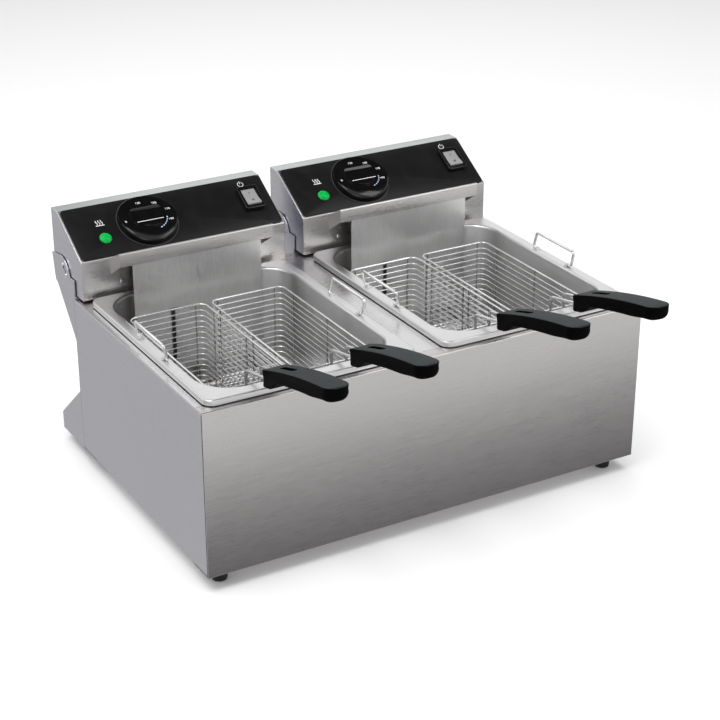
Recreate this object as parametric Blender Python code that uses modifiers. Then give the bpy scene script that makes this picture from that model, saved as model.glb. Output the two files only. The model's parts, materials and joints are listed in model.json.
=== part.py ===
"""Twin-tank countertop deep fryer: cabinet, two lift-out tanks, two control heads, four wire baskets.

Metres, +X to the right, +Y to the rear, +Z up.  The origin is at the middle of the whole
fryer's footprint, on the surface that its feet stand on.
"""
import math

import bmesh
import bpy
from mathutils import Matrix, Vector

OBJECT_NAME = "deep_fryer"
SIDES = (("left", -1), ("right", 1))

# Overall sizes.
WIDTH = 0.600
CABINET_DEPTH = 0.369
HANDLE_REACH = 0.149          # basket grips stick out this far in front of the cabinet
REAR_REACH = 0.447            # rear spacer, measured from the cabinet's front
FOOT_HEIGHT = 0.020
DECK_Z = 0.230
FRONT_Y = (HANDLE_REACH - REAR_REACH) / 2

# Sheet metal and clearances.
SHEET = 0.0012
GAP = 0.0004                  # between pieces that rest on or beside each other
CORNER_STEPS = 4

# Cabinet.
FRONT_FLANGE = 0.017
REAR_FLANGE = 0.034
LOWER_FLANGE = 0.040          # wide enough for the feet to stand under
SIDE_FLANGE = 0.009
DECK_HOLE_MARGIN = 0.003      # between a tank's wall and the deck's cut-out
FOOT_RADIUS = 0.0105
FOOT_INSET = 0.026
SPACER_TOP_Z = 0.104
SPACER_SLOPE_END_Z = 0.039
SPACER_BOTTOM_Z = 0.0155
SPACER_SIDE_INSET = 0.003

# Tanks, measured from the cabinet's front where they give a place front to back.
TANK_OFFSET_X = 0.1545
RIM_WIDTH = 0.272
RIM_FRONT = 0.008
RIM_BACK = 0.340
RIM_CORNER = 0.014
RIM_Z = 0.238
OPENING_WIDTH = 0.242
OPENING_FRONT = 0.027
OPENING_BACK = 0.3295
OPENING_CORNER = 0.045
TANK_FLOOR_Z = 0.087
TANK_SHEET = 0.001
WALL_TAPER = 0.0015
FLOOR_RADIUS = 0.012

# Bails: the wire handles on the tanks' flanges.
BAIL_OFFSET_X = 0.1285
BAIL_FRONT = 0.125
BAIL_BACK = 0.208
BAIL_HEIGHT = 0.019
BAIL_RADIUS = 0.0015
BAIL_LEAN = math.radians(12)

# Baskets.
BASKET_OFFSET_X = 0.0552
BASKET_WIDTH = 0.1042
BASKET_FRONT = 0.0555
BASKET_BACK = 0.2925
BASKET_RIM_Z = 0.224
BASKET_FLOOR_Z = 0.1145
BASKET_CORNER = 0.012
BASKET_SHEET = 0.0012
RIM_LIP = 0.0022
BRACKET_HALF_WIDTH = 0.010
BRACKET_RADIUS = 0.002
BRACKET_LOW_Z = 0.160
BRACKET_TOP_Z = 0.252
GRIP_WIDTH = 0.030
GRIP_BACK = 0.004             # rear face of the grip's block, behind the cabinet's front
GRIP_BACK_Z = 0.264
GRIP_THICKNESS = 0.0145
GRIP_BLOCK_DEPTH = 0.017
GRIP_BLOCK_BOTTOM_Z = 0.2435
GRIP_RISE = 0.36
GRIP_CURVE = 0.70             # drop per metre squared that bends the grip downwards
GRIP_SLOT = (0.018, 0.056, 0.008)

# Control heads.
HEAD_WIDTH = 0.282
HEAD_FRONT = 0.347
HEAD_REAR = 0.4365
HEAD_BOTTOM_Z = 0.2325
PANEL_LOW_Z = 0.2837
PANEL_SLOPE = math.radians(31.5)
PANEL_RUN = 0.0841            # length of the sloping face
PANEL_SIZE = (0.278, 0.082)
PANEL_CORNER = 0.006
PANEL_THICKNESS = 0.0015
PANEL_TOP = GAP + PANEL_THICKNESS
KNOB_PLACE = (-0.0350, 0.0430)
LAMP_PLACE = (-0.0975, 0.0285)
SWITCH_PLACE = (0.1105, 0.0450)
KNOB_RADIUS = 0.0380
KNOB_WALL = 0.0095                # height of the dial's upright rim above the panel
KNOB_APEX = 0.0157                # height at which its shallow cone would come to a point
KNOB_EDGE = 0.0008
FACE_LOW = 0.0026                 # height of the slanting face at its far edge
FACE_TILT = math.radians(8)
BOSS_RADIUS = 0.0225
BOSS_OFFSET = 0.0035
BOSS_FLAT = 0.0125                # from the boss's centre to its straight far side
BOSS_HEIGHT = 0.0035
BOSS_BEVEL = 0.0025
SPINDLE_TOP = 0.0095
BORE_TOP = 0.0105
SWITCH_OUTER = (0.028, 0.037)
SWITCH_WINDOW = (0.0208, 0.0276)
SWITCH_TOP = 0.009
ROCKER_RADIUS = 0.0133
ROCKER_AXIS_H = 0.0060
ROCKER_TILT = math.radians(7)
HOOD_OFFSET_X = 0.0025
HOOD_WIDTH = 0.211
LIP_FRONT = 0.3155
LIP_TOP_Z = 0.2995
LIP_BOTTOM_Z = 0.2810
HOOD_FOOT_Z = 0.2615
GUARD_WIDTH = 0.176
GUARD_TOP_Z = 0.2940
GUARD_BOTTOM_Z = 0.1250
GUARD_SLOT_X = -0.0371
GUARD_SLOT_WIDTH = 0.0058
GUARD_SLOT_Z = (0.1335, 0.2110)
GUARD_FLARE = (0.0160, 0.0030)
ELEMENT_RADIUS = 0.0035
ELEMENT_Z = BASKET_FLOOR_Z - GAP - ELEMENT_RADIUS
ELEMENT_LEGS = (-0.075, -0.025, 0.025, 0.075)
ELEMENT_FRONT = 0.062
ELEMENT_TURN_BACK = 0.300
RISER_BACK = 0.3224
RISER_TOP_Z = 0.272
PROBE_RADIUS = 0.0025
PROBE_Z = 0.0965
RESET_PLACE = (-0.095, 0.262)
GLAND_PLACE = (0.095, 0.262)

# Head cradle on the cabinet's rear.
EAR_SHEET = 0.0015
EAR_CLEARANCE = 0.0012
CRADLE_LOW_Z = 0.165
EAR_SHOULDER_Z = 0.2525
EAR_CENTRE = (0.4085, 0.2495)     # behind the cabinet's front, height
EAR_RADIUS = 0.0235
CRESCENT_RADII = (0.0165, 0.0125)
SHELF_BACK = 0.4270
SHELF_Z = HEAD_BOTTOM_Z - GAP


def back(distance):
    """Y of a place this far behind the cabinet's front face."""
    return FRONT_Y + distance


# ---------------------------------------------------------------- scene and materials

def clear_scene():
    for item in list(bpy.data.objects):
        bpy.data.objects.remove(item)


def new_collection(name):
    collection = bpy.data.collections.new(name)
    bpy.context.scene.collection.children.link(collection)
    return collection


def new_material(name, colour, roughness, metallic=0.0):
    material = bpy.data.materials.new(name)
    material.use_nodes = True
    shader = material.node_tree.nodes["Principled BSDF"]
    shader.inputs["Base Color"].default_value = (*colour, 1.0)
    shader.inputs["Roughness"].default_value = roughness
    shader.inputs["Metallic"].default_value = metallic
    return material


clear_scene()
PARTS = new_collection(OBJECT_NAME)
CUTTERS = new_collection("cutters")
STEEL = new_material("brushed_steel", (0.55, 0.54, 0.54), 0.35, 1.0)
WIRE_STEEL = new_material("wire_steel", (0.70, 0.70, 0.70), 0.18, 1.0)
ELEMENT_STEEL = new_material("element_steel", (0.45, 0.44, 0.43), 0.32, 1.0)
TANK_STEEL = new_material("tank_steel", (0.60, 0.60, 0.60), 0.28, 1.0)
PANEL_BLACK = new_material("panel_black", (0.012, 0.012, 0.012), 0.30)
KNOB_BLACK = new_material("knob_black", (0.010, 0.010, 0.010), 0.15)
SWITCH_BLACK = new_material("switch_black", (0.012, 0.012, 0.012), 0.30)
GRIP_PLASTIC = new_material("grip_plastic", (0.025, 0.028, 0.028), 0.45)
ROCKER_GREY = new_material("rocker_grey", (0.42, 0.42, 0.42), 0.45)
GREEN_LENS = new_material("green_lens", (0.01, 0.55, 0.12), 0.15)
RUBBER = new_material("rubber", (0.015, 0.015, 0.015), 0.75)
RESET_RED = new_material("reset_red", (0.45, 0.02, 0.02), 0.40)


def place_part(name, mesh, material, parent=None, matrix=None):
    """Link a mesh as a named sub-part; matrix is relative to the parent."""
    part = bpy.data.objects.new(name, mesh)
    mesh.materials.clear()
    mesh.materials.append(material)
    PARTS.objects.link(part)
    if parent is not None:
        part.parent = parent
    if matrix is not None:
        part.matrix_local = matrix
    return part


def place_tool(name, mesh, parent=None, matrix=None):
    """Link a mesh as a hidden cutter or a hidden piece to be joined."""
    tool = bpy.data.objects.new(name, mesh)
    CUTTERS.objects.link(tool)
    if parent is not None:
        tool.parent = parent
    if matrix is not None:
        tool.matrix_local = matrix
    tool.hide_render = True
    tool.display_type = 'WIRE'
    return tool


def combine(part, tool, operation):
    modifier = part.modifiers.new(tool.name, 'BOOLEAN')
    modifier.operation = operation
    modifier.object = tool


def cut(part, tool):
    combine(part, tool, 'DIFFERENCE')


def join(part, tool):
    combine(part, tool, 'UNION')


def new_empty(name, matrix):
    empty = bpy.data.objects.new(name, None)
    empty.empty_display_size = 0.02
    empty.matrix_world = matrix
    PARTS.objects.link(empty)
    return empty


# ---------------------------------------------------------------- shape helpers

def box_mesh(name, low, high):
    """Axis-aligned box between two corners."""
    low = Vector(low)
    high = Vector(high)
    work = bmesh.new()
    bmesh.ops.create_cube(work, size=1.0)
    bmesh.ops.scale(work, vec=high - low, verts=work.verts)
    bmesh.ops.translate(work, vec=(high + low) / 2, verts=work.verts)
    return finish_mesh(name, work)


def finish_mesh(name, work):
    mesh = bpy.data.meshes.new(name)
    work.to_mesh(mesh)
    work.free()
    return mesh


def cylinder_mesh(name, radius, low, high, segments=24, top_radius=None):
    """Upright cylinder or cone about the local Z axis."""
    work = bmesh.new()
    bmesh.ops.create_cone(work, cap_ends=True, segments=segments, radius1=radius,
                          radius2=radius if top_radius is None else top_radius, depth=high - low)
    bmesh.ops.translate(work, vec=(0, 0, (high + low) / 2), verts=work.verts)
    return smooth_rounds(finish_mesh(name, work))


def smooth_rounds(mesh):
    mesh.shade_smooth()
    mesh.set_sharp_from_angle(angle=math.radians(35))
    return mesh


def mesh_from_curve(name, curve):
    """Evaluate a curve, weld its loose caps and return the closed mesh."""
    holder = bpy.data.objects.new(name, curve)
    bpy.context.scene.collection.objects.link(holder)
    graph = bpy.context.evaluated_depsgraph_get()
    mesh = bpy.data.meshes.new_from_object(holder.evaluated_get(graph))
    bpy.data.objects.remove(holder)
    work = bmesh.new()
    work.from_mesh(mesh)
    bmesh.ops.remove_doubles(work, verts=work.verts, dist=0.00001)
    bmesh.ops.recalc_face_normals(work, faces=work.faces)
    work.to_mesh(mesh)
    work.free()
    mesh.name = name
    return mesh


def outline_mesh(name, outline, thickness):
    """Flat closed outline, extruded evenly to both sides of its own XY plane."""
    curve = bpy.data.curves.new(name, 'CURVE')
    curve.dimensions = '2D'
    curve.fill_mode = 'BOTH'
    curve.extrude = thickness / 2
    spline = curve.splines.new('POLY')
    spline.points.add(len(outline) - 1)
    for point, (u, v) in zip(spline.points, outline):
        point.co = (u, v, 0.0, 1.0)
    spline.use_cyclic_u = True
    return mesh_from_curve(name, curve)


def tube_mesh(name, path, radius):
    """Round wire or tube along a list of points, with closed ends."""
    curve = bpy.data.curves.new(name, 'CURVE')
    curve.dimensions = '3D'
    curve.bevel_depth = radius
    curve.bevel_resolution = 2
    curve.use_fill_caps = True
    spline = curve.splines.new('POLY')
    spline.points.add(len(path) - 1)
    for point, place in zip(spline.points, path):
        point.co = (*place, 1.0)
    return smooth_rounds(mesh_from_curve(name, curve))


def rounded_path(corners, radius, steps=3):
    """Points along straight runs whose corners are replaced by arcs."""
    corners = [Vector(corner) for corner in corners]
    path = [corners[0]]
    for before, corner, after in zip(corners, corners[1:], corners[2:]):
        path.extend(corner_arc(before, corner, after, radius, steps))
    path.append(corners[-1])
    return path


def corner_arc(before, corner, after, radius, steps):
    towards_before = (before - corner).normalized()
    towards_after = (after - corner).normalized()
    half_angle = towards_before.angle(towards_after) / 2
    middle = (towards_before + towards_after).normalized()
    centre = corner + middle * radius / math.sin(half_angle)
    reach = radius / math.tan(half_angle)
    start = (corner + towards_before * reach - centre).normalized()
    end = (corner + towards_after * reach - centre).normalized()
    return [centre + start.slerp(end, step / steps) * radius for step in range(steps + 1)]


def folded_outline(path, thickness):
    """Outline of folded sheet: the path is one face, the other lies to the path's left."""
    path = [Vector(point) for point in path]
    inner = []
    for index, point in enumerate(path):
        before = path[max(index - 1, 0)]
        after = path[min(index + 1, len(path) - 1)]
        ways = [way.normalized() for way in (point - before, after - point) if way.length > 0]
        normals = [Vector((-way.y, way.x)) for way in ways]
        middle = sum(normals, Vector((0, 0))).normalized()
        inner.append(point + middle * thickness / middle.dot(normals[0]))
    return path + inner[::-1]


def rounded_rectangle(width, low, high, radius, steps=CORNER_STEPS):
    """Plan outline, centred on X = 0, from Y = low to Y = high, counter-clockwise."""
    outline = []
    centres = ((1, high, 0), (-1, high, 90), (-1, low, 180), (1, low, 270))
    for side, edge, start in centres:
        centre_x = side * (width / 2 - radius)
        centre_y = edge - radius if edge == high else edge + radius
        for step in range(steps + 1):
            angle = math.radians(start + 90 * step / steps)
            outline.append((centre_x + radius * math.cos(angle), centre_y + radius * math.sin(angle)))
    return outline


def arc(centre, radius, start, end, steps):
    """Points on an arc, angles in degrees, both ends included."""
    angles = [math.radians(start + (end - start) * step / steps) for step in range(steps + 1)]
    return [(centre[0] + radius * math.cos(a), centre[1] + radius * math.sin(a)) for a in angles]


def pan_mesh(name, rings):
    """Open pan lofted through plan outlines with unlike corners; the last ring is its floor."""
    work = bmesh.new()
    loops = [[work.verts.new((x, y, z)) for x, y in outline] for outline, z in rings]
    for upper, lower in zip(loops, loops[1:]):
        for index in range(len(upper)):
            nxt = (index + 1) % len(upper)
            work.faces.new((upper[index], lower[index], lower[nxt], upper[nxt]))
    work.faces.new(loops[-1])
    bmesh.ops.recalc_face_normals(work, faces=work.faces)
    return smooth_rounds(finish_mesh(name, work))


def add_thickness(part, thickness):
    modifier = part.modifiers.new("sheet", 'SOLIDIFY')
    modifier.thickness = thickness
    modifier.offset = 0.0
    modifier.use_even_offset = True


def turned_part(name, profile, material, parent, matrix=None, segments=32):
    """Solid turned about local Z; the profile runs down its outer side, on +X, and closes on the axis."""
    work = bmesh.new()
    verts = [work.verts.new((r, 0.0, z)) for r, z in profile]
    for first, second in zip(verts, verts[1:]):
        work.edges.new((first, second))
    part = place_part(name, finish_mesh(name, work), material, parent, matrix)
    screw = part.modifiers.new("turn", 'SCREW')
    screw.steps = segments
    screw.render_steps = segments
    screw.use_merge_vertices = True
    screw.merge_threshold = 0.00001
    screw.use_smooth_shade = True
    return part


def across(outline_centre_x):
    """Matrix that stands a (Y, Z) outline upright, its thickness along X."""
    turn = Matrix(((0, 0, 1, outline_centre_x), (1, 0, 0, 0), (0, 1, 0, 0), (0, 0, 0, 1)))
    return turn


def facing_front(y):
    """Matrix that stands an (X, Z) outline upright, its thickness along Y."""
    return Matrix(((1, 0, 0, 0), (0, 0, -1, y), (0, 1, 0, 0), (0, 0, 0, 1)))


def lying(z):
    return Matrix.Translation((0, 0, z))


# ---------------------------------------------------------------- cabinet

def make_front_panel():
    front = back(0)
    path = [(front + FRONT_FLANGE, DECK_Z), (front, DECK_Z), (front, FOOT_HEIGHT),
            (front + LOWER_FLANGE, FOOT_HEIGHT)]
    mesh = outline_mesh("front_panel", folded_outline(path, SHEET), WIDTH)
    place_part("front_panel", mesh, STEEL, matrix=across(0))


def make_rear_panel():
    rear = back(CABINET_DEPTH)
    path = [(rear - LOWER_FLANGE, FOOT_HEIGHT), (rear, FOOT_HEIGHT), (rear, DECK_Z),
            (rear - REAR_FLANGE, DECK_Z)]
    mesh = outline_mesh("rear_panel", folded_outline(path, SHEET), WIDTH)
    place_part("rear_panel", mesh, STEEL, matrix=across(0))


def make_side_panel(name, side):
    """Outer sheet with its top and bottom edges folded inwards."""
    outer = WIDTH / 2
    top = DECK_Z - SHEET - GAP
    front = back(SHEET + GAP)
    rear = back(CABINET_DEPTH - SHEET - GAP)
    low = FOOT_HEIGHT + SHEET + GAP
    path = [(outer - SIDE_FLANGE, low), (outer, low), (outer, top), (outer - SIDE_FLANGE, top)]
    outline = [(side * x, z) for x, z in folded_outline(path, SHEET)]
    mesh = outline_mesh(name, outline, rear - front)
    place_part(name, mesh, STEEL, matrix=facing_front((front + rear) / 2))


def make_top_deck():
    """Flat deck between the folded flanges, with a cut-out for each tank."""
    low = back(FRONT_FLANGE + GAP)
    high = back(CABINET_DEPTH - REAR_FLANGE - GAP)
    half = WIDTH / 2
    mesh = box_mesh("top_deck", (-half, low, DECK_Z - SHEET), (half, high, DECK_Z))
    deck = place_part("top_deck", mesh, STEEL)
    hole = rounded_rectangle(OPENING_WIDTH + 2 * DECK_HOLE_MARGIN, back(OPENING_FRONT - DECK_HOLE_MARGIN),
                             back(OPENING_BACK + DECK_HOLE_MARGIN), OPENING_CORNER)
    for name, side in SIDES:
        matrix = Matrix.Translation((side * TANK_OFFSET_X, 0, DECK_Z))
        cut(deck, place_tool("deck_hole_" + name, outline_mesh("deck_hole", hole, 0.02), matrix=matrix))


def make_bottom_plate():
    margin = SHEET + 2 * GAP
    low = FOOT_HEIGHT + 2 * SHEET + 3 * GAP
    mesh = box_mesh("bottom_plate", (-WIDTH / 2 + margin, back(margin), low),
                    (WIDTH / 2 - margin, back(CABINET_DEPTH - margin), low + SHEET))
    place_part("bottom_plate", mesh, STEEL)


def make_rear_spacer():
    """Sloping box that keeps the fryer off the wall; open at its front and underside."""
    front = back(CABINET_DEPTH) + GAP
    rear = back(REAR_REACH)
    outer = [(front, SPACER_BOTTOM_Z), (rear, SPACER_BOTTOM_Z), (rear, SPACER_SLOPE_END_Z),
             (front, SPACER_TOP_Z)]
    inner = [(front - 0.01, SPACER_BOTTOM_Z - 0.01), (rear - SHEET, SPACER_BOTTOM_Z - 0.01),
             (rear - SHEET, SPACER_SLOPE_END_Z - SHEET), (front - 0.01, SPACER_TOP_Z + 0.0064)]
    width = WIDTH - 2 * SPACER_SIDE_INSET
    mesh = outline_mesh("rear_spacer", outer, width)
    spacer = place_part("rear_spacer", mesh, STEEL, matrix=across(0))
    tool = outline_mesh("spacer_hollow", inner, width - 2 * SHEET)
    cut(spacer, place_tool("spacer_hollow", tool, matrix=across(0)))


def make_foot(name, x, y):
    mesh = cylinder_mesh(name, FOOT_RADIUS * 0.9, 0, FOOT_HEIGHT - GAP, 20, FOOT_RADIUS)
    place_part(name, mesh, RUBBER, matrix=Matrix.Translation((x, y, 0)))


def make_feet():
    for depth_name, y in (("front", back(FOOT_INSET)), ("rear", back(CABINET_DEPTH - FOOT_INSET))):
        for name, side in SIDES:
            make_foot("foot_" + depth_name + "_" + name, side * (WIDTH / 2 - FOOT_INSET), y)


def ear_outline():
    """Side plate of the cradle: a sloping bracket with a rounded tab on top."""
    front = back(CABINET_DEPTH) + GAP
    outline = [(front, CRADLE_LOW_Z), (front, EAR_SHOULDER_Z), (back(0.3845), EAR_SHOULDER_Z)]
    outline += arc((back(EAR_CENTRE[0]), EAR_CENTRE[1]), EAR_RADIUS, 165, 85, 5)
    outline += [(back(0.4385), 0.2690), (back(0.4320), SHELF_Z + 0.0015), (back(SHELF_BACK), SHELF_Z)]
    return outline


def crescent_outline():
    centre = (back(EAR_CENTRE[0]), EAR_CENTRE[1] - 0.0015)
    outer, inner = CRESCENT_RADII
    return arc(centre, outer, 172, 112, 5) + arc(centre, inner, 112, 172, 5)


def make_head_cradle(name, side):
    """Bracket on the cabinet's rear: back plate, shelf under the head, and an ear on each side."""
    centre = side * TANK_OFFSET_X
    front = back(CABINET_DEPTH) + GAP
    half = HEAD_WIDTH / 2 + EAR_CLEARANCE + EAR_SHEET
    plate = box_mesh(name, (centre - half, front, CRADLE_LOW_Z), (centre + half, front + SHEET, SHELF_Z))
    cradle = place_part(name, plate, STEEL)
    shelf = box_mesh("shelf", (centre - half, front, SHELF_Z - SHEET),
                     (centre + half, back(SHELF_BACK), SHELF_Z))
    join(cradle, place_tool(name + "_shelf", shelf))
    for ear_name, way in SIDES:
        ear = outline_mesh("ear", ear_outline(), EAR_SHEET)
        place = across(centre + way * (half - EAR_SHEET / 2))
        join(cradle, place_tool(name + "_ear_" + ear_name, ear, matrix=place))
    slot = outline_mesh("crescent", crescent_outline(), 2 * half + 0.01)
    cut(cradle, place_tool(name + "_crescents", slot, matrix=across(centre)))


# ---------------------------------------------------------------- tanks and bails

def make_tank(name, side):
    """Deep-drawn pan with a wide flange whose edge is turned down on the deck."""
    half_sheet = TANK_SHEET / 2
    rim_low = back(RIM_FRONT + half_sheet)
    rim_high = back(RIM_BACK - half_sheet)
    rim_width = RIM_WIDTH - TANK_SHEET
    top = RIM_Z - half_sheet
    low = back(OPENING_FRONT)
    high = back(OPENING_BACK)

    def rim(inset, z):
        outline = rounded_rectangle(rim_width - 2 * inset, rim_low + inset, rim_high - inset,
                                    RIM_CORNER - inset)
        return outline, z

    def wall(inset, z):
        outline = rounded_rectangle(OPENING_WIDTH - 2 * inset, low + inset, high - inset,
                                    OPENING_CORNER - inset)
        return outline, z

    floor = TANK_FLOOR_Z + half_sheet
    rings = [rim(0, DECK_Z + GAP), rim(0, top - 0.0025), rim(0.0007, top - 0.0007), rim(0.0025, top),
             wall(-0.0015, top), wall(0, top - 0.0015), wall(WALL_TAPER, floor + FLOOR_RADIUS),
             wall(WALL_TAPER + FLOOR_RADIUS * 0.3, floor + FLOOR_RADIUS * 0.3),
             wall(WALL_TAPER + FLOOR_RADIUS, floor)]
    tank = place_part(name, pan_mesh(name, rings), TANK_STEEL,
                      matrix=Matrix.Translation((side * TANK_OFFSET_X, 0, 0)))
    add_thickness(tank, TANK_SHEET)


def make_bail(name, side, way):
    """Wire handle, hinged on a front-to-back axis through its two feet."""
    pivot = (side * TANK_OFFSET_X + way * BAIL_OFFSET_X, 0, RIM_Z + GAP + BAIL_RADIUS)
    lean = Matrix.Rotation(way * BAIL_LEAN, 4, 'Y')
    half = (BAIL_BACK - BAIL_FRONT) / 2
    toe = 0.005
    corners = [(0, -half + toe, 0), (0, -half, 0), (0, -half, BAIL_HEIGHT), (0, half, BAIL_HEIGHT),
               (0, half, 0), (0, half - toe, 0)]
    path = rounded_path(corners, 0.0025)
    axis = Matrix.Translation(pivot) @ Matrix.Translation((0, back((BAIL_FRONT + BAIL_BACK) / 2), 0))
    place_part(name, tube_mesh(name, path, BAIL_RADIUS), WIRE_STEEL, matrix=axis @ lean)


# ---------------------------------------------------------------- baskets

def make_basket_cage(name, centre):
    """Outer shape of the wire cage as a thin open-topped shell with a rolled rim."""
    half_sheet = BASKET_SHEET / 2
    low = back(BASKET_FRONT)
    high = back(BASKET_BACK)

    def ring(inset, z):
        outline = rounded_rectangle(BASKET_WIDTH - 2 * inset, low + inset, high - inset,
                                    BASKET_CORNER - inset)
        return outline, z

    floor = BASKET_FLOOR_Z + half_sheet
    inner = RIM_LIP
    rings = [ring(half_sheet, BASKET_RIM_Z - 0.0035), ring(half_sheet, BASKET_RIM_Z - 0.001),
             ring(inner, BASKET_RIM_Z - half_sheet), ring(inner + 0.001, BASKET_RIM_Z - 0.002),
             ring(inner + 0.001, floor + 0.008), ring(inner + 0.003, floor + 0.003),
             ring(inner + 0.009, floor)]
    cage = place_part(name, pan_mesh(name, rings), WIRE_STEEL,
                      matrix=Matrix.Translation((centre, 0, 0)))
    add_thickness(cage, BASKET_SHEET)


def make_handle_bracket(name, centre):
    """One bent wire: up the cage's front wall, then forward into the grip on both sides."""
    wall = back(BASKET_FRONT) - GAP - BRACKET_RADIUS
    end = back(GRIP_BACK) + GAP
    drop = GRIP_RISE * (wall - end)
    reach = BRACKET_HALF_WIDTH
    corners = [(-reach, end, BRACKET_TOP_Z), (-reach, wall, BRACKET_TOP_Z - drop * 0.55),
               (-reach, wall, BRACKET_LOW_Z), (reach, wall, BRACKET_LOW_Z),
               (reach, wall, BRACKET_TOP_Z - drop * 0.55), (reach, end, BRACKET_TOP_Z)]
    mesh = tube_mesh(name, rounded_path(corners, 0.007), BRACKET_RADIUS)
    place_part(name, mesh, WIRE_STEEL, matrix=Matrix.Translation((centre, 0, 0)))


def grip_top(reach):
    """Height of the grip's upper face at a distance in front of its rear face."""
    return GRIP_BACK_Z + GRIP_RISE * reach - GRIP_CURVE * reach * reach


def grip_outline():
    """Side view (Y, Z): block at the rear, then a gently bent grip of even thickness."""
    rear = back(GRIP_BACK)
    length = GRIP_BACK + HANDLE_REACH
    steps = 12
    reaches = [length * step / steps for step in range(steps + 1)]
    upper = [(rear - reach, grip_top(reach)) for reach in reaches]
    lower = [(rear - reach, grip_top(reach) - GRIP_THICKNESS) for reach in reversed(reaches)
             if reach > 2.2 * GRIP_BLOCK_DEPTH]
    block = [(rear - GRIP_BLOCK_DEPTH, GRIP_BLOCK_BOTTOM_Z + 0.003), (rear, GRIP_BLOCK_BOTTOM_Z)]
    return upper + lower + block


def make_basket_handle(name, centre):
    """Plastic grip: its side view, rounded at the tip in plan, with a hanging slot on top."""
    matrix = Matrix.Translation((centre, 0, 0)) @ across(0)
    grip = place_part(name, outline_mesh(name, grip_outline(), GRIP_WIDTH), GRIP_PLASTIC, matrix=matrix)
    half = GRIP_WIDTH / 2
    tip = -back(0) + HANDLE_REACH
    plan = arc((0, -tip + half), half, 180, 360, 12) + [(half, 0.1), (-half, 0.1)]
    plan_tool = place_tool(name + "_plan", outline_mesh("plan", plan, 0.2),
                           matrix=Matrix.Translation((centre, 0, GRIP_BACK_Z)))
    combine(grip, plan_tool, 'INTERSECT')
    near, far, width = GRIP_SLOT
    slot = rounded_rectangle(width, back(GRIP_BACK) - far, back(GRIP_BACK) - near, width / 2 - 0.0001, 4)
    depth = 0.03
    top = grip_top(near)
    cut(grip, place_tool(name + "_slot", outline_mesh("slot", slot, depth),
                         matrix=Matrix.Translation((centre, 0, top + depth / 2 - 0.003))))


# ---------------------------------------------------------------- control heads

def panel_frame(name, side):
    """Empty on the middle of the sloping face's lower edge: X right, Y up the slope, Z out of it."""
    turn = Matrix.Rotation(PANEL_SLOPE, 4, 'X')
    place = Matrix.Translation((side * TANK_OFFSET_X, back(HEAD_FRONT), PANEL_LOW_Z))
    return new_empty(name, place @ turn)


def head_outline(inset, rear):
    """Side view (Y, Z) of a head, from its bottom rear corner round to its top rear corner."""
    front = back(HEAD_FRONT)
    run_y = PANEL_RUN * math.cos(PANEL_SLOPE)
    run_z = PANEL_RUN * math.sin(PANEL_SLOPE)
    low_turn = inset * math.tan((math.pi / 2 - PANEL_SLOPE) / 2)
    top_turn = inset * math.tan(PANEL_SLOPE / 2)
    return [(rear, HEAD_BOTTOM_Z + inset), (front + inset, HEAD_BOTTOM_Z + inset),
            (front + inset, PANEL_LOW_Z - low_turn),
            (front + run_y + top_turn, PANEL_LOW_Z + run_z - inset),
            (rear, PANEL_LOW_Z + run_z - inset)]


def make_head_housing(name, side):
    """Sheet-metal box with a sloping face, open at the rear."""
    centre = side * TANK_OFFSET_X
    rear = back(HEAD_REAR)
    mesh = outline_mesh(name, head_outline(0, rear), HEAD_WIDTH)
    housing = place_part(name, mesh, STEEL, matrix=across(centre))
    hollow = outline_mesh("hollow", head_outline(SHEET, rear + 0.01), HEAD_WIDTH - 2 * SHEET)
    cut(housing, place_tool(name + "_hollow", hollow, matrix=across(centre)))
    return housing


def panel_holes(name, frame):
    """Cutters through the sloping face for the spindle, the lamp and the switch."""
    knob_x, knob_y = KNOB_PLACE
    lamp_x, lamp_y = LAMP_PLACE
    switch_x, switch_y = SWITCH_PLACE
    half_x = SWITCH_OUTER[0] / 2 - 0.002
    half_y = SWITCH_OUTER[1] / 2 - 0.003
    spindle = cylinder_mesh("spindle_hole", 0.0042, -0.01, 0.01)
    lamp = cylinder_mesh("lamp_hole", 0.0067, -0.01, 0.01)
    switch = box_mesh("switch_hole", (-half_x, -half_y, -0.01), (half_x, half_y, 0.01))
    places = ((spindle, knob_x, knob_y), (lamp, lamp_x, lamp_y), (switch, switch_x, switch_y))
    return [place_tool(name + "_" + mesh.name, mesh, frame, Matrix.Translation((x, y, 0)))
            for mesh, x, y in places]


def make_control_panel(name, frame):
    width, height = PANEL_SIZE
    middle = PANEL_RUN / 2
    outline = rounded_rectangle(width, middle - height / 2, middle + height / 2, PANEL_CORNER)
    mesh = outline_mesh(name, outline, PANEL_THICKNESS)
    return place_part(name, mesh, PANEL_BLACK, frame, lying(GAP + PANEL_THICKNESS / 2))


def boss_outline():
    """Round boss whose far side is cut off straight."""
    half_gap = math.degrees(math.acos(BOSS_FLAT / BOSS_RADIUS))
    return arc((0, 0), BOSS_RADIUS, 90 + half_gap, 450 - half_gap, 16)


def knob_blank(name, frame, matrix):
    """Upright rim under a shallow cone, before the slanting face is cut."""
    base = PANEL_TOP + GAP
    wall = PANEL_TOP + KNOB_WALL
    profile = [(0.0, PANEL_TOP + KNOB_APEX), (KNOB_RADIUS - KNOB_EDGE, wall), (KNOB_RADIUS, wall - KNOB_EDGE),
               (KNOB_RADIUS, base), (0.0, base)]
    return turned_part(name, profile, KNOB_BLACK, frame, matrix, 40)


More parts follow.
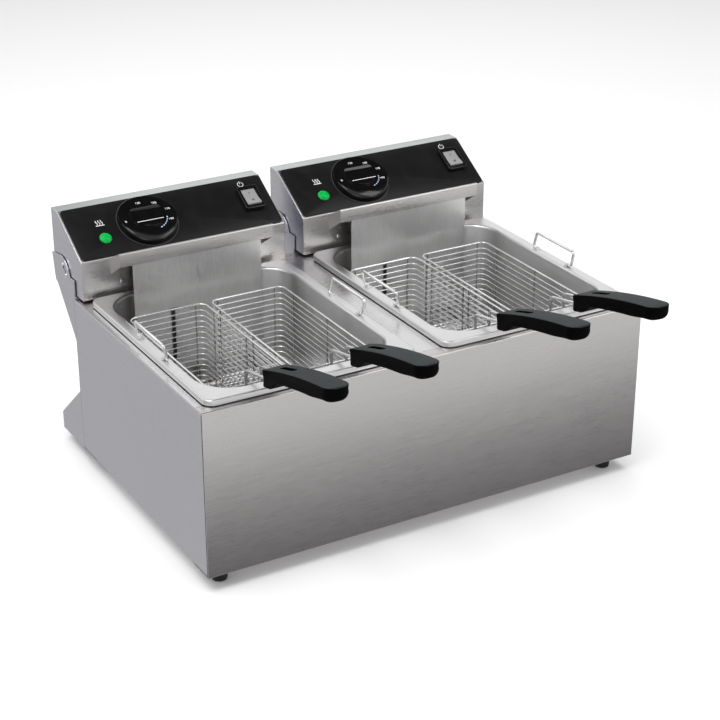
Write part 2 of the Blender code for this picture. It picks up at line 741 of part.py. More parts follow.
def make_knob(name, frame):
    """Dial: rim, slanting face and a raised boss on it; a blind bore takes the spindle."""
    matrix = Matrix.Translation((*KNOB_PLACE, 0))
    knob = knob_blank(name, frame, matrix)
    far_edge = Matrix.Translation((0, KNOB_RADIUS, PANEL_TOP + FACE_LOW))
    face = matrix @ far_edge @ Matrix.Rotation(-FACE_TILT, 4, 'X')
    beyond = 3 * KNOB_RADIUS
    waste = box_mesh("waste", (-beyond, -beyond, 0), (beyond, beyond, beyond))
    cut(knob, place_tool(name + "_waste", waste, frame, face))
    centre = face @ Matrix.Translation((0, BOSS_OFFSET - KNOB_RADIUS, 0))
    boss = outline_mesh("boss", boss_outline(), 2 * BOSS_HEIGHT)
    join(knob, place_tool(name + "_boss", boss, frame, centre))
    bevel = box_mesh("bevel", (-beyond, -BOSS_BEVEL, 0), (beyond, 1.5 * BOSS_BEVEL, BOSS_RADIUS))
    corner = centre @ Matrix.Translation((0, BOSS_FLAT - BOSS_BEVEL, BOSS_HEIGHT))
    slant = Matrix.Rotation(-math.pi / 4, 4, 'X')
    cut(knob, place_tool(name + "_bevel", bevel, frame, corner @ slant))
    bore = cylinder_mesh("bore", 0.0034, PANEL_TOP - 0.005, BORE_TOP, 16)
    cut(knob, place_tool(name + "_bore", bore, frame, matrix))


def make_indicator_lens(name, frame):
    base = PANEL_TOP + GAP
    dome = arc((0, base + 0.0005), 0.0030, 90, 0, 3)
    profile = [(0.0, base + 0.0035)] + [(0.0050 + x, z) for x, z in dome]
    profile += [(0.0080, base), (0.0062, base), (0.0062, -0.010), (0.0, -0.010)]
    turned_part(name, profile, GREEN_LENS, frame, Matrix.Translation((*LAMP_PLACE, 0)), 20)


def make_switch_frame(name, frame):
    """Raised black bezel with a pocket for the rocker and a body that goes through the panel."""
    width, height = SWITCH_OUTER
    base = PANEL_TOP + GAP
    matrix = Matrix.Translation((*SWITCH_PLACE, 0))
    outline = rounded_rectangle(width, -height / 2, height / 2, 0.004, 3)
    bezel = place_part(name, outline_mesh(name, outline, SWITCH_TOP - base), SWITCH_BLACK, frame,
                       matrix @ lying((SWITCH_TOP + base) / 2))
    half_x = width / 2 - 0.0025
    half_y = height / 2 - 0.0035
    body = box_mesh("body", (-half_x, -half_y, -0.012), (half_x, half_y, base + 0.001))
    join(bezel, place_tool(name + "_body", body, frame, matrix))
    win_x, win_y = SWITCH_WINDOW
    pocket_low, pocket_high = (-win_x / 2, -win_y / 2, -0.006), (win_x / 2, win_y / 2, SWITCH_TOP + 0.01)
    pocket = box_mesh("pocket", pocket_low, pocket_high)
    cut(bezel, place_tool(name + "_pocket", pocket, frame, matrix))


def make_rocker(name, frame):
    """Rocker with round ends about its own axis and a shallow V on top, at rest on one side."""
    radius = ROCKER_RADIUS
    outline = arc((0, 0), radius, -35, 14, 5)
    outline += [(0.0, radius * math.sin(math.radians(14)) - 0.0012)]
    outline += arc((0, 0), radius, 166, 215, 5)
    matrix = Matrix.Translation((*SWITCH_PLACE, ROCKER_AXIS_H)) @ Matrix.Rotation(-ROCKER_TILT, 4, 'X')
    place_part(name, outline_mesh(name, outline, SWITCH_WINDOW[0] - 0.0010), ROCKER_GREY, frame,
               matrix @ across(0))


def make_thermostat(name, frame):
    """Thermostat body behind the sloping face, with the spindle that carries the knob."""
    top = -SHEET - GAP
    profile = [(0.0, SPINDLE_TOP), (0.0030, SPINDLE_TOP), (0.0030, top), (0.0170, top), (0.0170, -0.0240),
               (0.0, -0.0240)]
    turned_part(name, profile, STEEL, frame, Matrix.Translation((*KNOB_PLACE, 0)), 20)


def make_hood(name, side):
    """Folded steam deflector: sloping top, upright lip and a gusset at each end."""
    centre = side * TANK_OFFSET_X + HOOD_OFFSET_X
    wall = back(HEAD_FRONT) - GAP
    lip = back(LIP_FRONT)
    top_at_wall = PANEL_LOW_Z - 0.0010
    outline = [(wall, HOOD_FOOT_Z), (wall, top_at_wall), (lip, LIP_TOP_Z), (lip, LIP_BOTTOM_Z)]
    hood = place_part(name, outline_mesh(name, outline, HOOD_WIDTH), STEEL, matrix=across(centre))
    rise = (LIP_TOP_Z - top_at_wall) / (wall - lip)
    beyond = 0.01
    inner = [(wall + beyond, HOOD_FOOT_Z - 0.03), (wall + beyond, top_at_wall - 1.2 * SHEET - rise * beyond),
             (lip + SHEET, LIP_TOP_Z - 1.2 * SHEET - rise * SHEET), (lip + SHEET, HOOD_FOOT_Z - 0.03)]
    tool = outline_mesh("hood_hollow", inner, HOOD_WIDTH - 2 * SHEET)
    cut(hood, place_tool(name + "_hollow", tool, matrix=across(centre)))


def make_guard_plate(name, side):
    """Upright plate from the hood down into the tank, with a slot whose top flares."""
    centre = side * TANK_OFFSET_X + HOOD_OFFSET_X
    near = back(LIP_FRONT) + SHEET + GAP
    half = GUARD_WIDTH / 2
    mesh = box_mesh(name, (centre - half, near, GUARD_BOTTOM_Z), (centre + half, near + 0.001, GUARD_TOP_Z))
    guard = place_part(name, mesh, STEEL)
    flare_width, flare_height = GUARD_FLARE
    low, high = GUARD_SLOT_Z
    for label, width, bottom, top in (("strip", GUARD_SLOT_WIDTH, low, high),
                                      ("flare", flare_width, high - 0.001, high - 0.001 + flare_height)):
        middle = centre + GUARD_SLOT_X
        left, right = middle - width / 2, middle + width / 2
        tool = box_mesh(label, (left, near - 0.01, bottom), (right, near + 0.01, top))
        cut(guard, place_tool(name + "_" + label, tool))


def make_heating_element(name, side):
    """Serpentine tube over the tank's floor; both ends rise behind the guard into the head."""
    first, second, third, fourth = ELEMENT_LEGS
    face = back(HEAD_FRONT) - GAP
    riser = back(RISER_BACK)
    front = back(ELEMENT_FRONT)
    turn = back(ELEMENT_TURN_BACK)
    corners = [(first, face, RISER_TOP_Z), (first, riser, RISER_TOP_Z), (first, riser, ELEMENT_Z),
               (first, front, ELEMENT_Z), (second, front, ELEMENT_Z), (second, turn, ELEMENT_Z),
               (third, turn, ELEMENT_Z), (third, front, ELEMENT_Z), (fourth, front, ELEMENT_Z),
               (fourth, riser, ELEMENT_Z), (fourth, riser, RISER_TOP_Z), (fourth, face, RISER_TOP_Z)]
    mesh = tube_mesh(name, rounded_path(corners, 0.0115), ELEMENT_RADIUS)
    place_part(name, mesh, ELEMENT_STEEL, matrix=Matrix.Translation((side * TANK_OFFSET_X, 0, 0)))


def make_thermostat_bulb(name, side):
    """Temperature probe: thin tube down behind the guard, its sensing end under the element."""
    face = back(HEAD_FRONT) - GAP
    riser = back(RISER_BACK)
    corners = [(0, face, RISER_TOP_Z), (0, riser, RISER_TOP_Z), (0, riser, PROBE_Z),
               (0, back(0.180), PROBE_Z)]
    mesh = tube_mesh(name, rounded_path(corners, 0.0115), PROBE_RADIUS)
    place_part(name, mesh, ELEMENT_STEEL, matrix=Matrix.Translation((side * TANK_OFFSET_X, 0, 0)))


def rear_facing(side, place):
    """Matrix with local Z pointing to the rear, on the rear face of a head."""
    x, z = place
    turn = Matrix.Rotation(-math.pi / 2, 4, 'X')
    return Matrix.Translation((side * TANK_OFFSET_X + x, back(HEAD_REAR) + GAP, z)) @ turn


def make_head_back_cover(name, side):
    centre = side * TANK_OFFSET_X
    near = back(HEAD_REAR) + GAP
    half = HEAD_WIDTH / 2
    top = PANEL_LOW_Z + PANEL_RUN * math.sin(PANEL_SLOPE)
    mesh = box_mesh(name, (centre - half, near, HEAD_BOTTOM_Z), (centre + half, near + SHEET, top))
    cover = place_part(name, mesh, STEEL)
    for label, place, radius in (("reset", RESET_PLACE, 0.0045), ("gland", GLAND_PLACE, 0.0080)):
        hole = cylinder_mesh(label, radius, -0.01, 0.01)
        cut(cover, place_tool(name + "_" + label, hole, matrix=rear_facing(side, place)))


def make_reset_button(name, side):
    """Push button of the high-limit cut-out; it travels forward into the head."""
    profile = [(0.0, 0.0062), (0.0030, 0.0062), (0.0040, 0.0052), (0.0040, -0.012), (0.0, -0.012)]
    turned_part(name, profile, RESET_RED, None, rear_facing(side, RESET_PLACE), 16)


def make_cord_gland(name, side):
    """Empty cable gland: flanged bush with an open bore."""
    face = SHEET + GAP
    profile = [(0.0048, face + 0.0070), (0.0075, face + 0.0070), (0.0105, face + 0.0030), (0.0115, face),
               (0.0075, face), (0.0075, -0.010), (0.0048, -0.010), (0.0048, face + 0.0070)]
    turned_part(name, profile, SWITCH_BLACK, None, rear_facing(side, GLAND_PLACE), 24)


def make_head(side_name, side):
    frame = panel_frame("panel_frame_" + side_name, side)
    housing = make_head_housing("head_housing_" + side_name, side)
    panel = make_control_panel("control_panel_" + side_name, frame)
    for tool in panel_holes("panel_" + side_name, frame):
        cut(housing, tool)
        cut(panel, tool)
    make_knob("knob_" + side_name, frame)
    make_indicator_lens("indicator_lens_" + side_name, frame)
    make_switch_frame("switch_frame_" + side_name, frame)
    make_rocker("rocker_" + side_name, frame)
    make_thermostat("thermostat_" + side_name, frame)
    make_hood("hood_" + side_name, side)
    make_guard_plate("guard_plate_" + side_name, side)
    make_heating_element("heating_element_" + side_name, side)
    make_thermostat_bulb("thermostat_bulb_" + side_name, side)
    make_head_back_cover("head_back_cover_" + side_name, side)
    make_reset_button("reset_button_" + side_name, side)
    make_cord_gland("cord_gland_" + side_name, side)


# ---------------------------------------------------------------- whole fryer

def make_cabinet():
    make_front_panel()
    make_rear_panel()
    make_top_deck()
    make_bottom_plate()
    make_rear_spacer()
    make_feet()
    for name, side in SIDES:
        make_side_panel("side_panel_" + name, side)
        make_head_cradle("head_cradle_" + name, side)


def make_fry_station(side_name, side):
    """One tank with its bails, head and two baskets."""
    make_tank("tank_" + side_name, side)
    for place_name, way in (("outer", side), ("inner", -side)):
        make_bail("bail_" + side_name + "_" + place_name, side, way)
    make_head(side_name, side)
    for basket_name, way in SIDES:
        label = side_name + "_" + basket_name
        centre = side * TANK_OFFSET_X + way * BASKET_OFFSET_X
        make_basket_cage("basket_cage_" + label, centre)
        make_handle_bracket("handle_bracket_" + label, centre)
        make_basket_handle("basket_handle_" + label, centre)


make_cabinet()
for station_name, station_side in SIDES:
    make_fry_station(station_name, station_side)
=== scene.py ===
import json
from contextlib import contextmanager
from math import acos, cos, degrees, pi, radians, sin, sqrt, tan

import bmesh
import bpy
from mathutils import Matrix, Vector


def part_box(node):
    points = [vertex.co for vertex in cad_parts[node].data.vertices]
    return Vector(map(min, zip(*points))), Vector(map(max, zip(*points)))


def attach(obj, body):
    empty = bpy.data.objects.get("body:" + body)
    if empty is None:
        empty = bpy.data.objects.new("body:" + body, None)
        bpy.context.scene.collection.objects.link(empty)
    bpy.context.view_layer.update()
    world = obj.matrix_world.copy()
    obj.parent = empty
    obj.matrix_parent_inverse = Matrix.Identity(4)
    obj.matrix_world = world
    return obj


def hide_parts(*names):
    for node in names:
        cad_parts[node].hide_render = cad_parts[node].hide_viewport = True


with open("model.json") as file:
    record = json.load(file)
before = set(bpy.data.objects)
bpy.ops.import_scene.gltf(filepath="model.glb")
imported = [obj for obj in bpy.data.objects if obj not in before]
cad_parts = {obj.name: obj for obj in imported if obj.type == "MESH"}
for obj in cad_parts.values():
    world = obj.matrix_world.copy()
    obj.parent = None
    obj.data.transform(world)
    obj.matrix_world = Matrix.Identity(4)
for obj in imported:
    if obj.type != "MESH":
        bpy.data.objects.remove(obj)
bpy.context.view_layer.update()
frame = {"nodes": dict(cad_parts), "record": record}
NODES = frame["nodes"]
SLOT_OF = {row["node"]: row["material_slot"] for row in frame["record"]["subparts"]}
SIDES = (("left", -1), ("right", 1))

# Layout of the fryer in metres, along the frame's own axes.
FRONT_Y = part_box("front_panel")[0].y
TANK_HALF = 0.136
TANK_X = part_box("tank_right")[1].x - TANK_HALF
DECK_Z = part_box("top_deck")[1].z
RIM_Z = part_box("tank_left")[1].z
HEAD_FACE = 0.347  # how far each head's upright face lies behind the cabinet's front
HEAD_HALF = 0.141
PANEL_LOW_Z = 0.2837
PANEL_SLOPE = radians(31.5)
PANEL_RUN = 0.0841
SHEET = 0.0012
FOLD = 0.0016  # outer radius of the sheets' folds
SEAM = 0.0012  # extra gap at the cabinet's front corners

# Places on a head's sloping face: right of its middle, and up the slope from its lower edge.
SWITCH_AT = (0.1105, 0.045)
DIAL_AT = (-0.035, 0.043)
LAMP_AT = (-0.0975, 0.0285)


def moved(x, y, z):
    return Matrix.Translation((x, y, z))


def polar(radius, angle):
    return (radius * cos(angle), radius * sin(angle))


def back(distance):
    """Y of a place that far behind the cabinet's front."""
    return FRONT_Y + distance


# ---------------- materials

def grey(level):
    return (level, level, level)


FINE_GRAIN = (560.0, 55.0, 2.0)  # noise scale across the brushing, scale along it, detail
BROAD_GRAIN = (230.0, 12.0, 3.0)
SHADE = 0.86  # darkest patches of wire and ink, as a share of their colour


def feed(tree, node, inputs):
    """Give each named input a value, or a link where the value is another node's output."""
    for key, value in inputs.items():
        if isinstance(value, bpy.types.NodeSocket):
            tree.links.new(value, node.inputs[key])
        else:
            node.inputs[key].default_value = value


def node_of(tree, kind, inputs=None, **settings):
    node = tree.nodes.new("ShaderNode" + kind)
    for name, value in settings.items():
        setattr(node, name, value)
    feed(tree, node, inputs or {})
    return node


def start_material(name, roughness, metallic=0.0, colour=grey(0.5)):
    material = bpy.data.materials.new(name)
    material.use_nodes = True
    tree = material.node_tree
    shader = tree.nodes["Principled BSDF"]
    feed(tree, shader, {"Roughness": roughness, "Metallic": metallic, "Base Color": (*colour, 1)})
    return material, tree, shader


def noise_at(tree, scale, detail, roughness=0.6):
    """Noise over the piece's own metres; scale is one number, or one for each axis."""
    coords = node_of(tree, "TexCoord")
    stretch = (scale,) * 3 if isinstance(scale, float) else scale
    mapping = node_of(tree, "Mapping", {"Vector": coords.outputs["Object"], "Scale": stretch})
    noise = node_of(tree, "TexNoise", {
        "Vector": mapping.outputs["Vector"], "Scale": 1.0, "Detail": detail, "Roughness": roughness})
    return noise.outputs["Fac"]


def ranged(tree, source, low, high, start=0.35, end=0.65):
    """Source stretched from start..end to low..high."""
    node = node_of(tree, "MapRange", {
        "Value": source, "From Min": start, "From Max": end, "To Min": low, "To Max": high})
    return node.outputs["Result"]


def tinted(tree, source, dark, light, start=0.35, end=0.65):
    """Colour that runs from dark to light as the source goes from start to end."""
    ramp = node_of(tree, "ValToRGB", {"Fac": source})
    for element, place, colour in zip(ramp.color_ramp.elements, (start, end), (dark, light)):
        element.position = place
        element.color = (*colour, 1)
    return ramp.outputs["Color"]


def raised(tree, shader, source, distance):
    bump = node_of(tree, "Bump", {"Height": source, "Strength": 1.0, "Distance": distance})
    feed(tree, shader, {"Normal": bump.outputs["Normal"]})


def averaged(tree, first, second, share):
    """Mix of two values; share is the part of the second."""
    return node_of(tree, "Mix", {0: share, 2: first, 3: second}, data_type='FLOAT').outputs[0]


def toned(colour, share):
    return tuple(min(1.0, c * share) for c in colour)


def brushed_steel(name, grain, colour, roughness, contrast, depth=1.2e-5):
    """Steel sheet brushed along one axis; grain is 'x', 'y' or 'z'."""
    material, tree, shader = start_material(name, roughness, 1.0)
    lines, bands = [noise_at(tree, [along if axis == grain else across for axis in "xyz"], detail)
                    for across, along, detail in (FINE_GRAIN, BROAD_GRAIN)]
    streaks = averaged(tree, lines, bands, 0.25)
    wear = averaged(tree, streaks, noise_at(tree, 9.0, 4.0), 0.35)
    dark, light = toned(colour, 1 - contrast), toned(colour, 1 + contrast)
    feed(tree, shader, {"Base Color": tinted(tree, streaks, dark, light, 0.28, 0.72),
                        "Roughness": ranged(tree, wear, roughness - 0.06, roughness + 0.08)})
    raised(tree, shader, streaks, depth)
    return material


def wire_metal(name, colour, roughness, spread=0.06, heat=None):
    """Drawn or polished wire and tube with faint blotches; heat is the colour of burnt ones."""
    material, tree, shader = start_material(name, roughness, 1.0)
    blotches, specks = noise_at(tree, 55.0, 4.0), noise_at(tree, 900.0, 2.0)
    both = averaged(tree, blotches, specks, 0.4)
    dark = heat or toned(colour, SHADE)
    feed(tree, shader, {"Base Color": tinted(tree, blotches, dark, colour, 0.35, 0.6),
                        "Roughness": ranged(tree, both, roughness - spread, roughness + spread)})
    raised(tree, shader, specks, 8e-6)
    return material


def moulded(name, colour, roughness, grain, scale, specular, lift=1.35):
    """Moulded plastic or rubber: fine surface grain, uneven sheen and faint scuffs."""
    material, tree, shader = start_material(name, roughness)
    pores, scuffs = noise_at(tree, scale, 2.0), noise_at(tree, (60.0, 18.0, 60.0), 5.0, 0.7)
    both = averaged(tree, pores, scuffs, 0.5)
    feed(tree, shader, {"Specular IOR Level": specular,
                        "Base Color": tinted(tree, scuffs, colour, toned(colour, lift), 0.42, 0.75),
                        "Roughness": ranged(tree, both, roughness - 0.06, roughness + 0.07)})
    raised(tree, shader, pores, grain)
    return material


def glowing_lens(name):
    """Clear green plastic that is faintly lit from within."""
    material, tree, shader = start_material(name, 0.16, colour=(0.003, 0.36, 0.06))
    facets = noise_at(tree, 520.0, 1.0)
    feed(tree, shader, {
        "Base Color": tinted(tree, facets, (0.0, 0.24, 0.035), (0.004, 0.4, 0.075)),
        "Emission Color": tinted(tree, facets, (0.0, 0.34, 0.045), (0.0, 0.5, 0.075)),
        "Emission Strength": 0.2, "Specular IOR Level": 0.22,
        "Roughness": ranged(tree, facets, 0.1, 0.24)})
    return material


def print_ink(name, colour):
    material, tree, shader = start_material(name, 0.5)
    grain = noise_at(tree, 1800.0, 2.0)
    feed(tree, shader, {"Base Color": tinted(tree, grain, toned(colour, SHADE), colour, 0.3, 0.7),
                        "Roughness": ranged(tree, grain, 0.42, 0.58, 0.3, 0.7)})
    return material


STEEL_X = brushed_steel("steel_brushed_across", "x", (0.655, 0.63, 0.63), 0.3, 0.055, 5e-6)
STEEL_Y = brushed_steel("steel_brushed_lengthways", "y", (0.66, 0.66, 0.7), 0.32, 0.05)
STEEL_Z = brushed_steel("steel_brushed_upright", "z", (0.86, 0.855, 0.85), 0.34, 0.06, 4e-6)
STEEL_DECK = brushed_steel("steel_deck", "x", grey(0.66), 0.24, 0.04, 5e-6)
TANK_STEEL = brushed_steel("tank_steel_satin", "x", grey(0.75), 0.33, 0.012, 8e-7)
# Darker, greener copy of the head's steel for the housing's upward faces: painted shade.
STEEL_TOP_PAINTED_SHADE = brushed_steel("steel_head_top_painted_shade", "x", (0.52, 0.56, 0.55), 0.3, 0.04, 4e-6)
WIRE = wire_metal("basket_wire", grey(0.86), 0.16)
# Same wire steel as the rings, made much darker: painted shade on the struts.
STRUT_PAINTED_SHADE = wire_metal("basket_strut_painted_shade", grey(0.42), 0.22)
BRIGHT = wire_metal("polished_wire", grey(0.9), 0.12, 0.04)
ELEMENT = wire_metal("element_tube", (0.42, 0.4, 0.38), 0.34, 0.08, heat=(0.24, 0.22, 0.21))
SCREW_METAL = wire_metal("screw_steel", grey(0.72), 0.24)
PANEL_BLACK = moulded("panel_black_satin", grey(0.0052), 0.34, 6e-6, 2200.0, 0.24)
KNOB_BLACK = moulded("knob_black_gloss", (0.003, 0.003, 0.0032), 0.13, 2e-6, 900.0, 0.5)
SWITCH_BLACK = moulded("switch_black_gloss", (0.004, 0.004, 0.0042), 0.2, 4e-6, 1400.0, 0.5)
ROCKER_GREY = moulded("rocker_grey_satin", grey(0.25), 0.42, 1e-5, 1800.0, 0.4, 1.12)
GRIP_BLACK = moulded("grip_black_matt", (0.001, 0.001, 0.0012), 0.5, 3e-5, 1300.0, 0.03, 1.5)
# Paler copy of the grip's black for its upper faces: painted light from above.
GRIP_TOP_PAINTED_LIGHT = moulded("grip_top_painted_light", (0.012, 0.016, 0.016), 0.5, 5e-5, 1300.0, 0.18, 1.25)
RUBBER = moulded("foot_rubber", grey(0.01), 0.7, 6e-5, 900.0, 0.3)
RESET_RED = moulded("reset_button_red", (0.42, 0.015, 0.012), 0.34, 1e-5, 1400.0, 0.5, 1.2)
LENS_GREEN = glowing_lens("lens_green_lit")
INK_WHITE = print_ink("print_white", grey(0.8))
INK_BLUE = print_ink("print_pale_blue", (0.5, 0.58, 0.85))
# Grey ink for the rocker's printed marks, and for the ring round the knob, which is a painted highlight.
INK_GREY_AND_PAINTED_HIGHLIGHT = print_ink("print_grey_and_painted_highlight", grey(0.1))


def dress(node, material):
    """Give a carried-over CAD node its finish."""
    obj = NODES[node]
    obj.data.materials.clear()
    obj.data.materials.append(material)
    return obj


def ease_edges(obj, width, segments=2):
    """Small rounded edges on folded or cut sheet."""
    bevel = obj.modifiers.new("eased", 'BEVEL')
    bevel.width = width
    bevel.segments = segments
    bevel.limit_method = 'ANGLE'
    bevel.angle_limit = radians(35)
    bevel.harden_normals = True


# ---------------- mesh tools

def linked(name, data):
    """New object in the scene."""
    obj = bpy.data.objects.new(name, data)
    bpy.context.scene.collection.objects.link(obj)
    return obj


def show(name, mesh, material, body, node=None, slot=None, matrix=None):
    """Link a finished mesh as a piece that rides on a body, standing for a CAD node if one is named."""
    obj = linked(name, mesh)
    mesh.materials.clear()
    mesh.materials.append(material)
    if matrix is not None:
        mesh.transform(matrix)
    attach(obj, body)
    for replaced in ([node] if isinstance(node, str) else node or []):
        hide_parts(replaced)
        slot = slot or SLOT_OF[replaced]
    return obj


WELD = 2e-6  # points nearer than this become one


def smoothed(mesh, angle):
    """Smooth shading that breaks at edges sharper than the angle."""
    mesh.shade_smooth()
    mesh.set_sharp_from_angle(angle=radians(angle))
    return mesh


@contextmanager
def opened(mesh):
    """The mesh as a bmesh to edit; the edits go back into it."""
    work = bmesh.new()
    work.from_mesh(mesh)
    yield work
    work.to_mesh(mesh)
    work.free()


def mesh_of(name, verts, faces, angle=35, weld=True):
    """Mesh with its faces turned outwards; weld joins points that coincide."""
    mesh = bpy.data.meshes.new(name)
    mesh.from_pydata([tuple(v) for v in verts], [], faces)
    with opened(mesh) as work:
        if weld:
            bmesh.ops.remove_doubles(work, verts=work.verts, dist=WELD)
        bmesh.ops.recalc_face_normals(work, faces=work.faces)
    return smoothed(mesh, angle)


def merged(name, meshes):
    """One mesh from several, each closed in itself."""
    work = bmesh.new()
    for mesh in meshes:
        work.from_mesh(mesh)
        bpy.data.meshes.remove(mesh)
    result = bpy.data.meshes.new(name)
    work.to_mesh(result)
    work.free()
    return result


def tube(path, radius, sides=8, closed=False):
    """Round wire along a path, its section carried along without twist."""
    path = [Vector(p) for p in path]
    count = len(path)

    def direction(i):
        before = i - 1 if closed or i else 0
        after = (i + 1) % count if closed else min(i + 1, count - 1)
        return (path[after] - path[before]).normalized()

    tangent = direction(0)
    normal = tangent.orthogonal().normalized()
    verts, faces = [], []
    for i, point in enumerate(path):
        new_tangent = direction(i)
        normal = (tangent.rotation_difference(new_tangent) @ normal).normalized()
        tangent = new_tangent
        side = tangent.cross(normal)
        for k in range(sides):
            a = 2 * pi * k / sides
            verts.append(point + normal * (radius * cos(a)) + side * (radius * sin(a)))
    shift = 0
    if closed:
        last, first = verts[-sides:], verts[:sides]
        shift = min(range(sides), key=lambda s: sum(
            (last[k] - first[(k + s) % sides]).length for k in range(sides)))
    for i in range(count if closed else count - 1):
        j = (i + 1) % count
        turn = shift if closed and i == count - 1 else 0
        for k in range(sides):
            n = (k + 1) % sides
            faces.append((i * sides + k, i * sides + n, j * sides + (n + turn) % sides,
                          j * sides + (k + turn) % sides))
    if not closed:
        faces.append(tuple(range(sides))[::-1])
        faces.append(tuple((count - 1) * sides + k for k in range(sides)))
    return mesh_of("tube", verts, faces, 50, weld=False)


def rounded_path(corners, radius, steps):
    """Open path through the corners, each but the first and last turned into an arc."""
    corners = [Vector(c) for c in corners]
    path = [corners[0]]
    for before, corner, after in zip(corners, corners[1:], corners[2:]):
        to_before, to_after = before - corner, after - corner
        reach_limit = 0.49 * min(to_before.length, to_after.length)
        to_before.normalize()
        to_after.normalize()
        half = to_before.angle(to_after) / 2
        reach = min(radius / tan(half), reach_limit)
        turn_radius = reach * tan(half)
        centre = corner + (to_before + to_after).normalized() * turn_radius / sin(half)
        start = (corner + to_before * reach - centre).normalized()
        end = (corner + to_after * reach - centre).normalized()
        path.extend(centre + start.slerp(end, s / steps) * turn_radius for s in range(steps + 1))
    return path + [corners[-1]]


def rounded_rectangle(half_x, low, high, radius, steps=8):
    """Plan outline counter-clockwise from the right side of the far edge."""
    outline = []
    for side, edge, start in ((1, high, 0), (-1, high, 90), (-1, low, 180), (1, low, 270)):
        cx = side * (half_x - radius)
        cy = edge - radius if edge == high else edge + radius
        for s in range(steps + 1):
            a = radians(start + 90 * s / steps)
            outline.append((cx + radius * cos(a), cy + radius * sin(a)))
    return outline


def lofted(rings, angle=35):
    """Closed loops of equal length joined one to the next and capped at both ends."""
    verts = [v for ring in rings for v in ring]
    count = len(rings[0])
    faces = []
    for r in range(len(rings) - 1):
        for k in range(count):
            n = (k + 1) % count
            faces.append((r * count + k, r * count + n, (r + 1) * count + n, (r + 1) * count + k))
    faces.append(tuple(range(count)))
    faces.append(tuple((len(rings) - 1) * count + k for k in range(count)))
    return mesh_of("loft", verts, faces, angle)


def flat(u, v, w):
    """Outline in plan (X, Y), its thickness along Z."""
    return (u, v, w)


def side_on(u, v, w):
    """Outline seen from the side (Y, Z), its thickness along X."""
    return (w, u, v)


def end_on(u, v, w):
    """Outline seen from the front (X, Z), its thickness along Y."""
    return (u, w, v)


def prism(outline, low, high, to_world):
    """Outline (u, v) pulled from low to high; to_world places (u, v, w)."""
    return lofted([[to_world(u, v, w) for u, v in outline] for w in (low, high)])


def bent_sheet(points, thickness, radius, steps=4):
    """Closed side view of folded sheet; the points run along its outer face."""
    outer = rounded_path([(p[0], p[1], 0) for p in points], radius, steps)
    inner = []
    for i, point in enumerate(outer):
        before, after = outer[max(i - 1, 0)], outer[min(i + 1, len(outer) - 1)]
        way = (after - before).normalized()
        inner.append(point + Vector((-way.y, way.x, 0)) * thickness)
    return [(p.x, p.y) for p in outer + inner[::-1]]


def turned(profile, segments):
    """Solid or ring turned about Z from (radius, height) points, closed on itself."""
    verts, faces = [], []
    count = len(profile)
    for k in range(segments):
        a = 2 * pi * k / segments
        verts.extend((r * cos(a), r * sin(a), z) for r, z in profile)
    for k in range(segments):
        n = (k + 1) % segments
        for i in range(count):
            j = (i + 1) % count
            if profile[i][0] < 1e-7 and profile[j][0] < 1e-7:
                continue
            faces.append((k * count + i, n * count + i, n * count + j, k * count + j))
    return mesh_of("turned", verts, faces)


def softened(mesh, width, segments, angle, spared=lambda edge: False):
    """Bevel every edge sharper than the angle in the mesh itself, other than the spared ones."""
    with opened(mesh) as work:
        work.normal_update()
        edges = [e for e in work.edges
                 if e.is_manifold and e.calc_face_angle(0) > radians(angle) and not spared(e)]
        bmesh.ops.bevel(work, geom=edges, offset=width, segments=segments, profile=0.5, affect='EDGES',
                        clamp_overlap=True)
    return smoothed(mesh, 30)


def evaluated(obj):
    """New mesh of an object with its modifiers or its curve worked out."""
    bpy.context.view_layer.update()
    graph = bpy.context.evaluated_depsgraph_get()
    return bpy.data.meshes.new_from_object(obj.evaluated_get(graph))


def carve(obj, tool_mesh, operation='DIFFERENCE'):
    """Boolean with a throwaway tool, applied at once."""
    tool = linked("tool", tool_mesh)
    modifier = obj.modifiers.new("carve", 'BOOLEAN')
    modifier.operation = operation
    modifier.solver = 'EXACT'
    modifier.object = tool
    result = evaluated(obj)
    obj.modifiers.remove(modifier)
    old, obj.data = obj.data, result
    bpy.data.objects.remove(tool)
    for mesh in (old, tool_mesh):
        bpy.data.meshes.remove(mesh)
    smoothed(result, 30)


def box(low, high):
    """Plain box between two opposite corners."""
    verts = [(x, y, z) for x in (low[0], high[0]) for y in (low[1], high[1]) for z in (low[2], high[2])]
    faces = [(0, 1, 3, 2), (4, 6, 7, 5), (0, 4, 5, 1), (2, 3, 7, 6), (0, 2, 6, 4), (1, 5, 7, 3)]
    return mesh_of("box", verts, faces)


def screw(name, place, facing, body, radius, turn):
    """Pan-head cross-recess screw standing on a surface."""
    height = radius * 0.62
    dome = [(0.0, height), (radius * 0.45, height * 0.97), (radius * 0.75, height * 0.8),
            (radius * 0.93, height * 0.5), (radius, height * 0.12), (radius, 0.0), (0.0, 0.0)]
    turn_to = Vector((0, 0, 1)).rotation_difference(Vector(facing)).to_matrix().to_4x4()
    obj = show(name, turned(dome, 24), SCREW_METAL, body, slot="brushed_steel")
    long_arm, short_arm = radius * 0.62, radius * 0.13
    for x, y in ((long_arm, short_arm), (short_arm, long_arm)):
        carve(obj, box((-x, -y, height * 0.35), (x, y, height * 1.5)))
    obj.data.transform(moved(*place) @ turn_to @ Matrix.Rotation(turn, 4, 'Z'))


# ---------------- stage

FLOOR_REACH = 9.0
PAINTED_FLOOR_NEAR, PAINTED_FLOOR_FRONT, PAINTED_FLOOR_BESIDE = 0.78, 0.16, 0.52  # how bright the floor is in reflections: painted reflection, darkest at the fryer's front as painted shade
PAINTED_FLOOR_DEPTH = 0.5  # distance ahead of the fryer over which the painted shade darkens it
FLAG_WAY = (0.453, 0.13, 0.88)  # middle of the dark flag that the black panels reflect
FLAG_EDGE = (0.86, 0.93)  # cosines at which the flag starts and is full
SKY = ((0.0, 0.3), (0.49, 0.45), (0.52, 0.9), (0.74, 0.9), (0.86, 0.95), (1.0, 0.95))
SKY_STRENGTH = 0.8

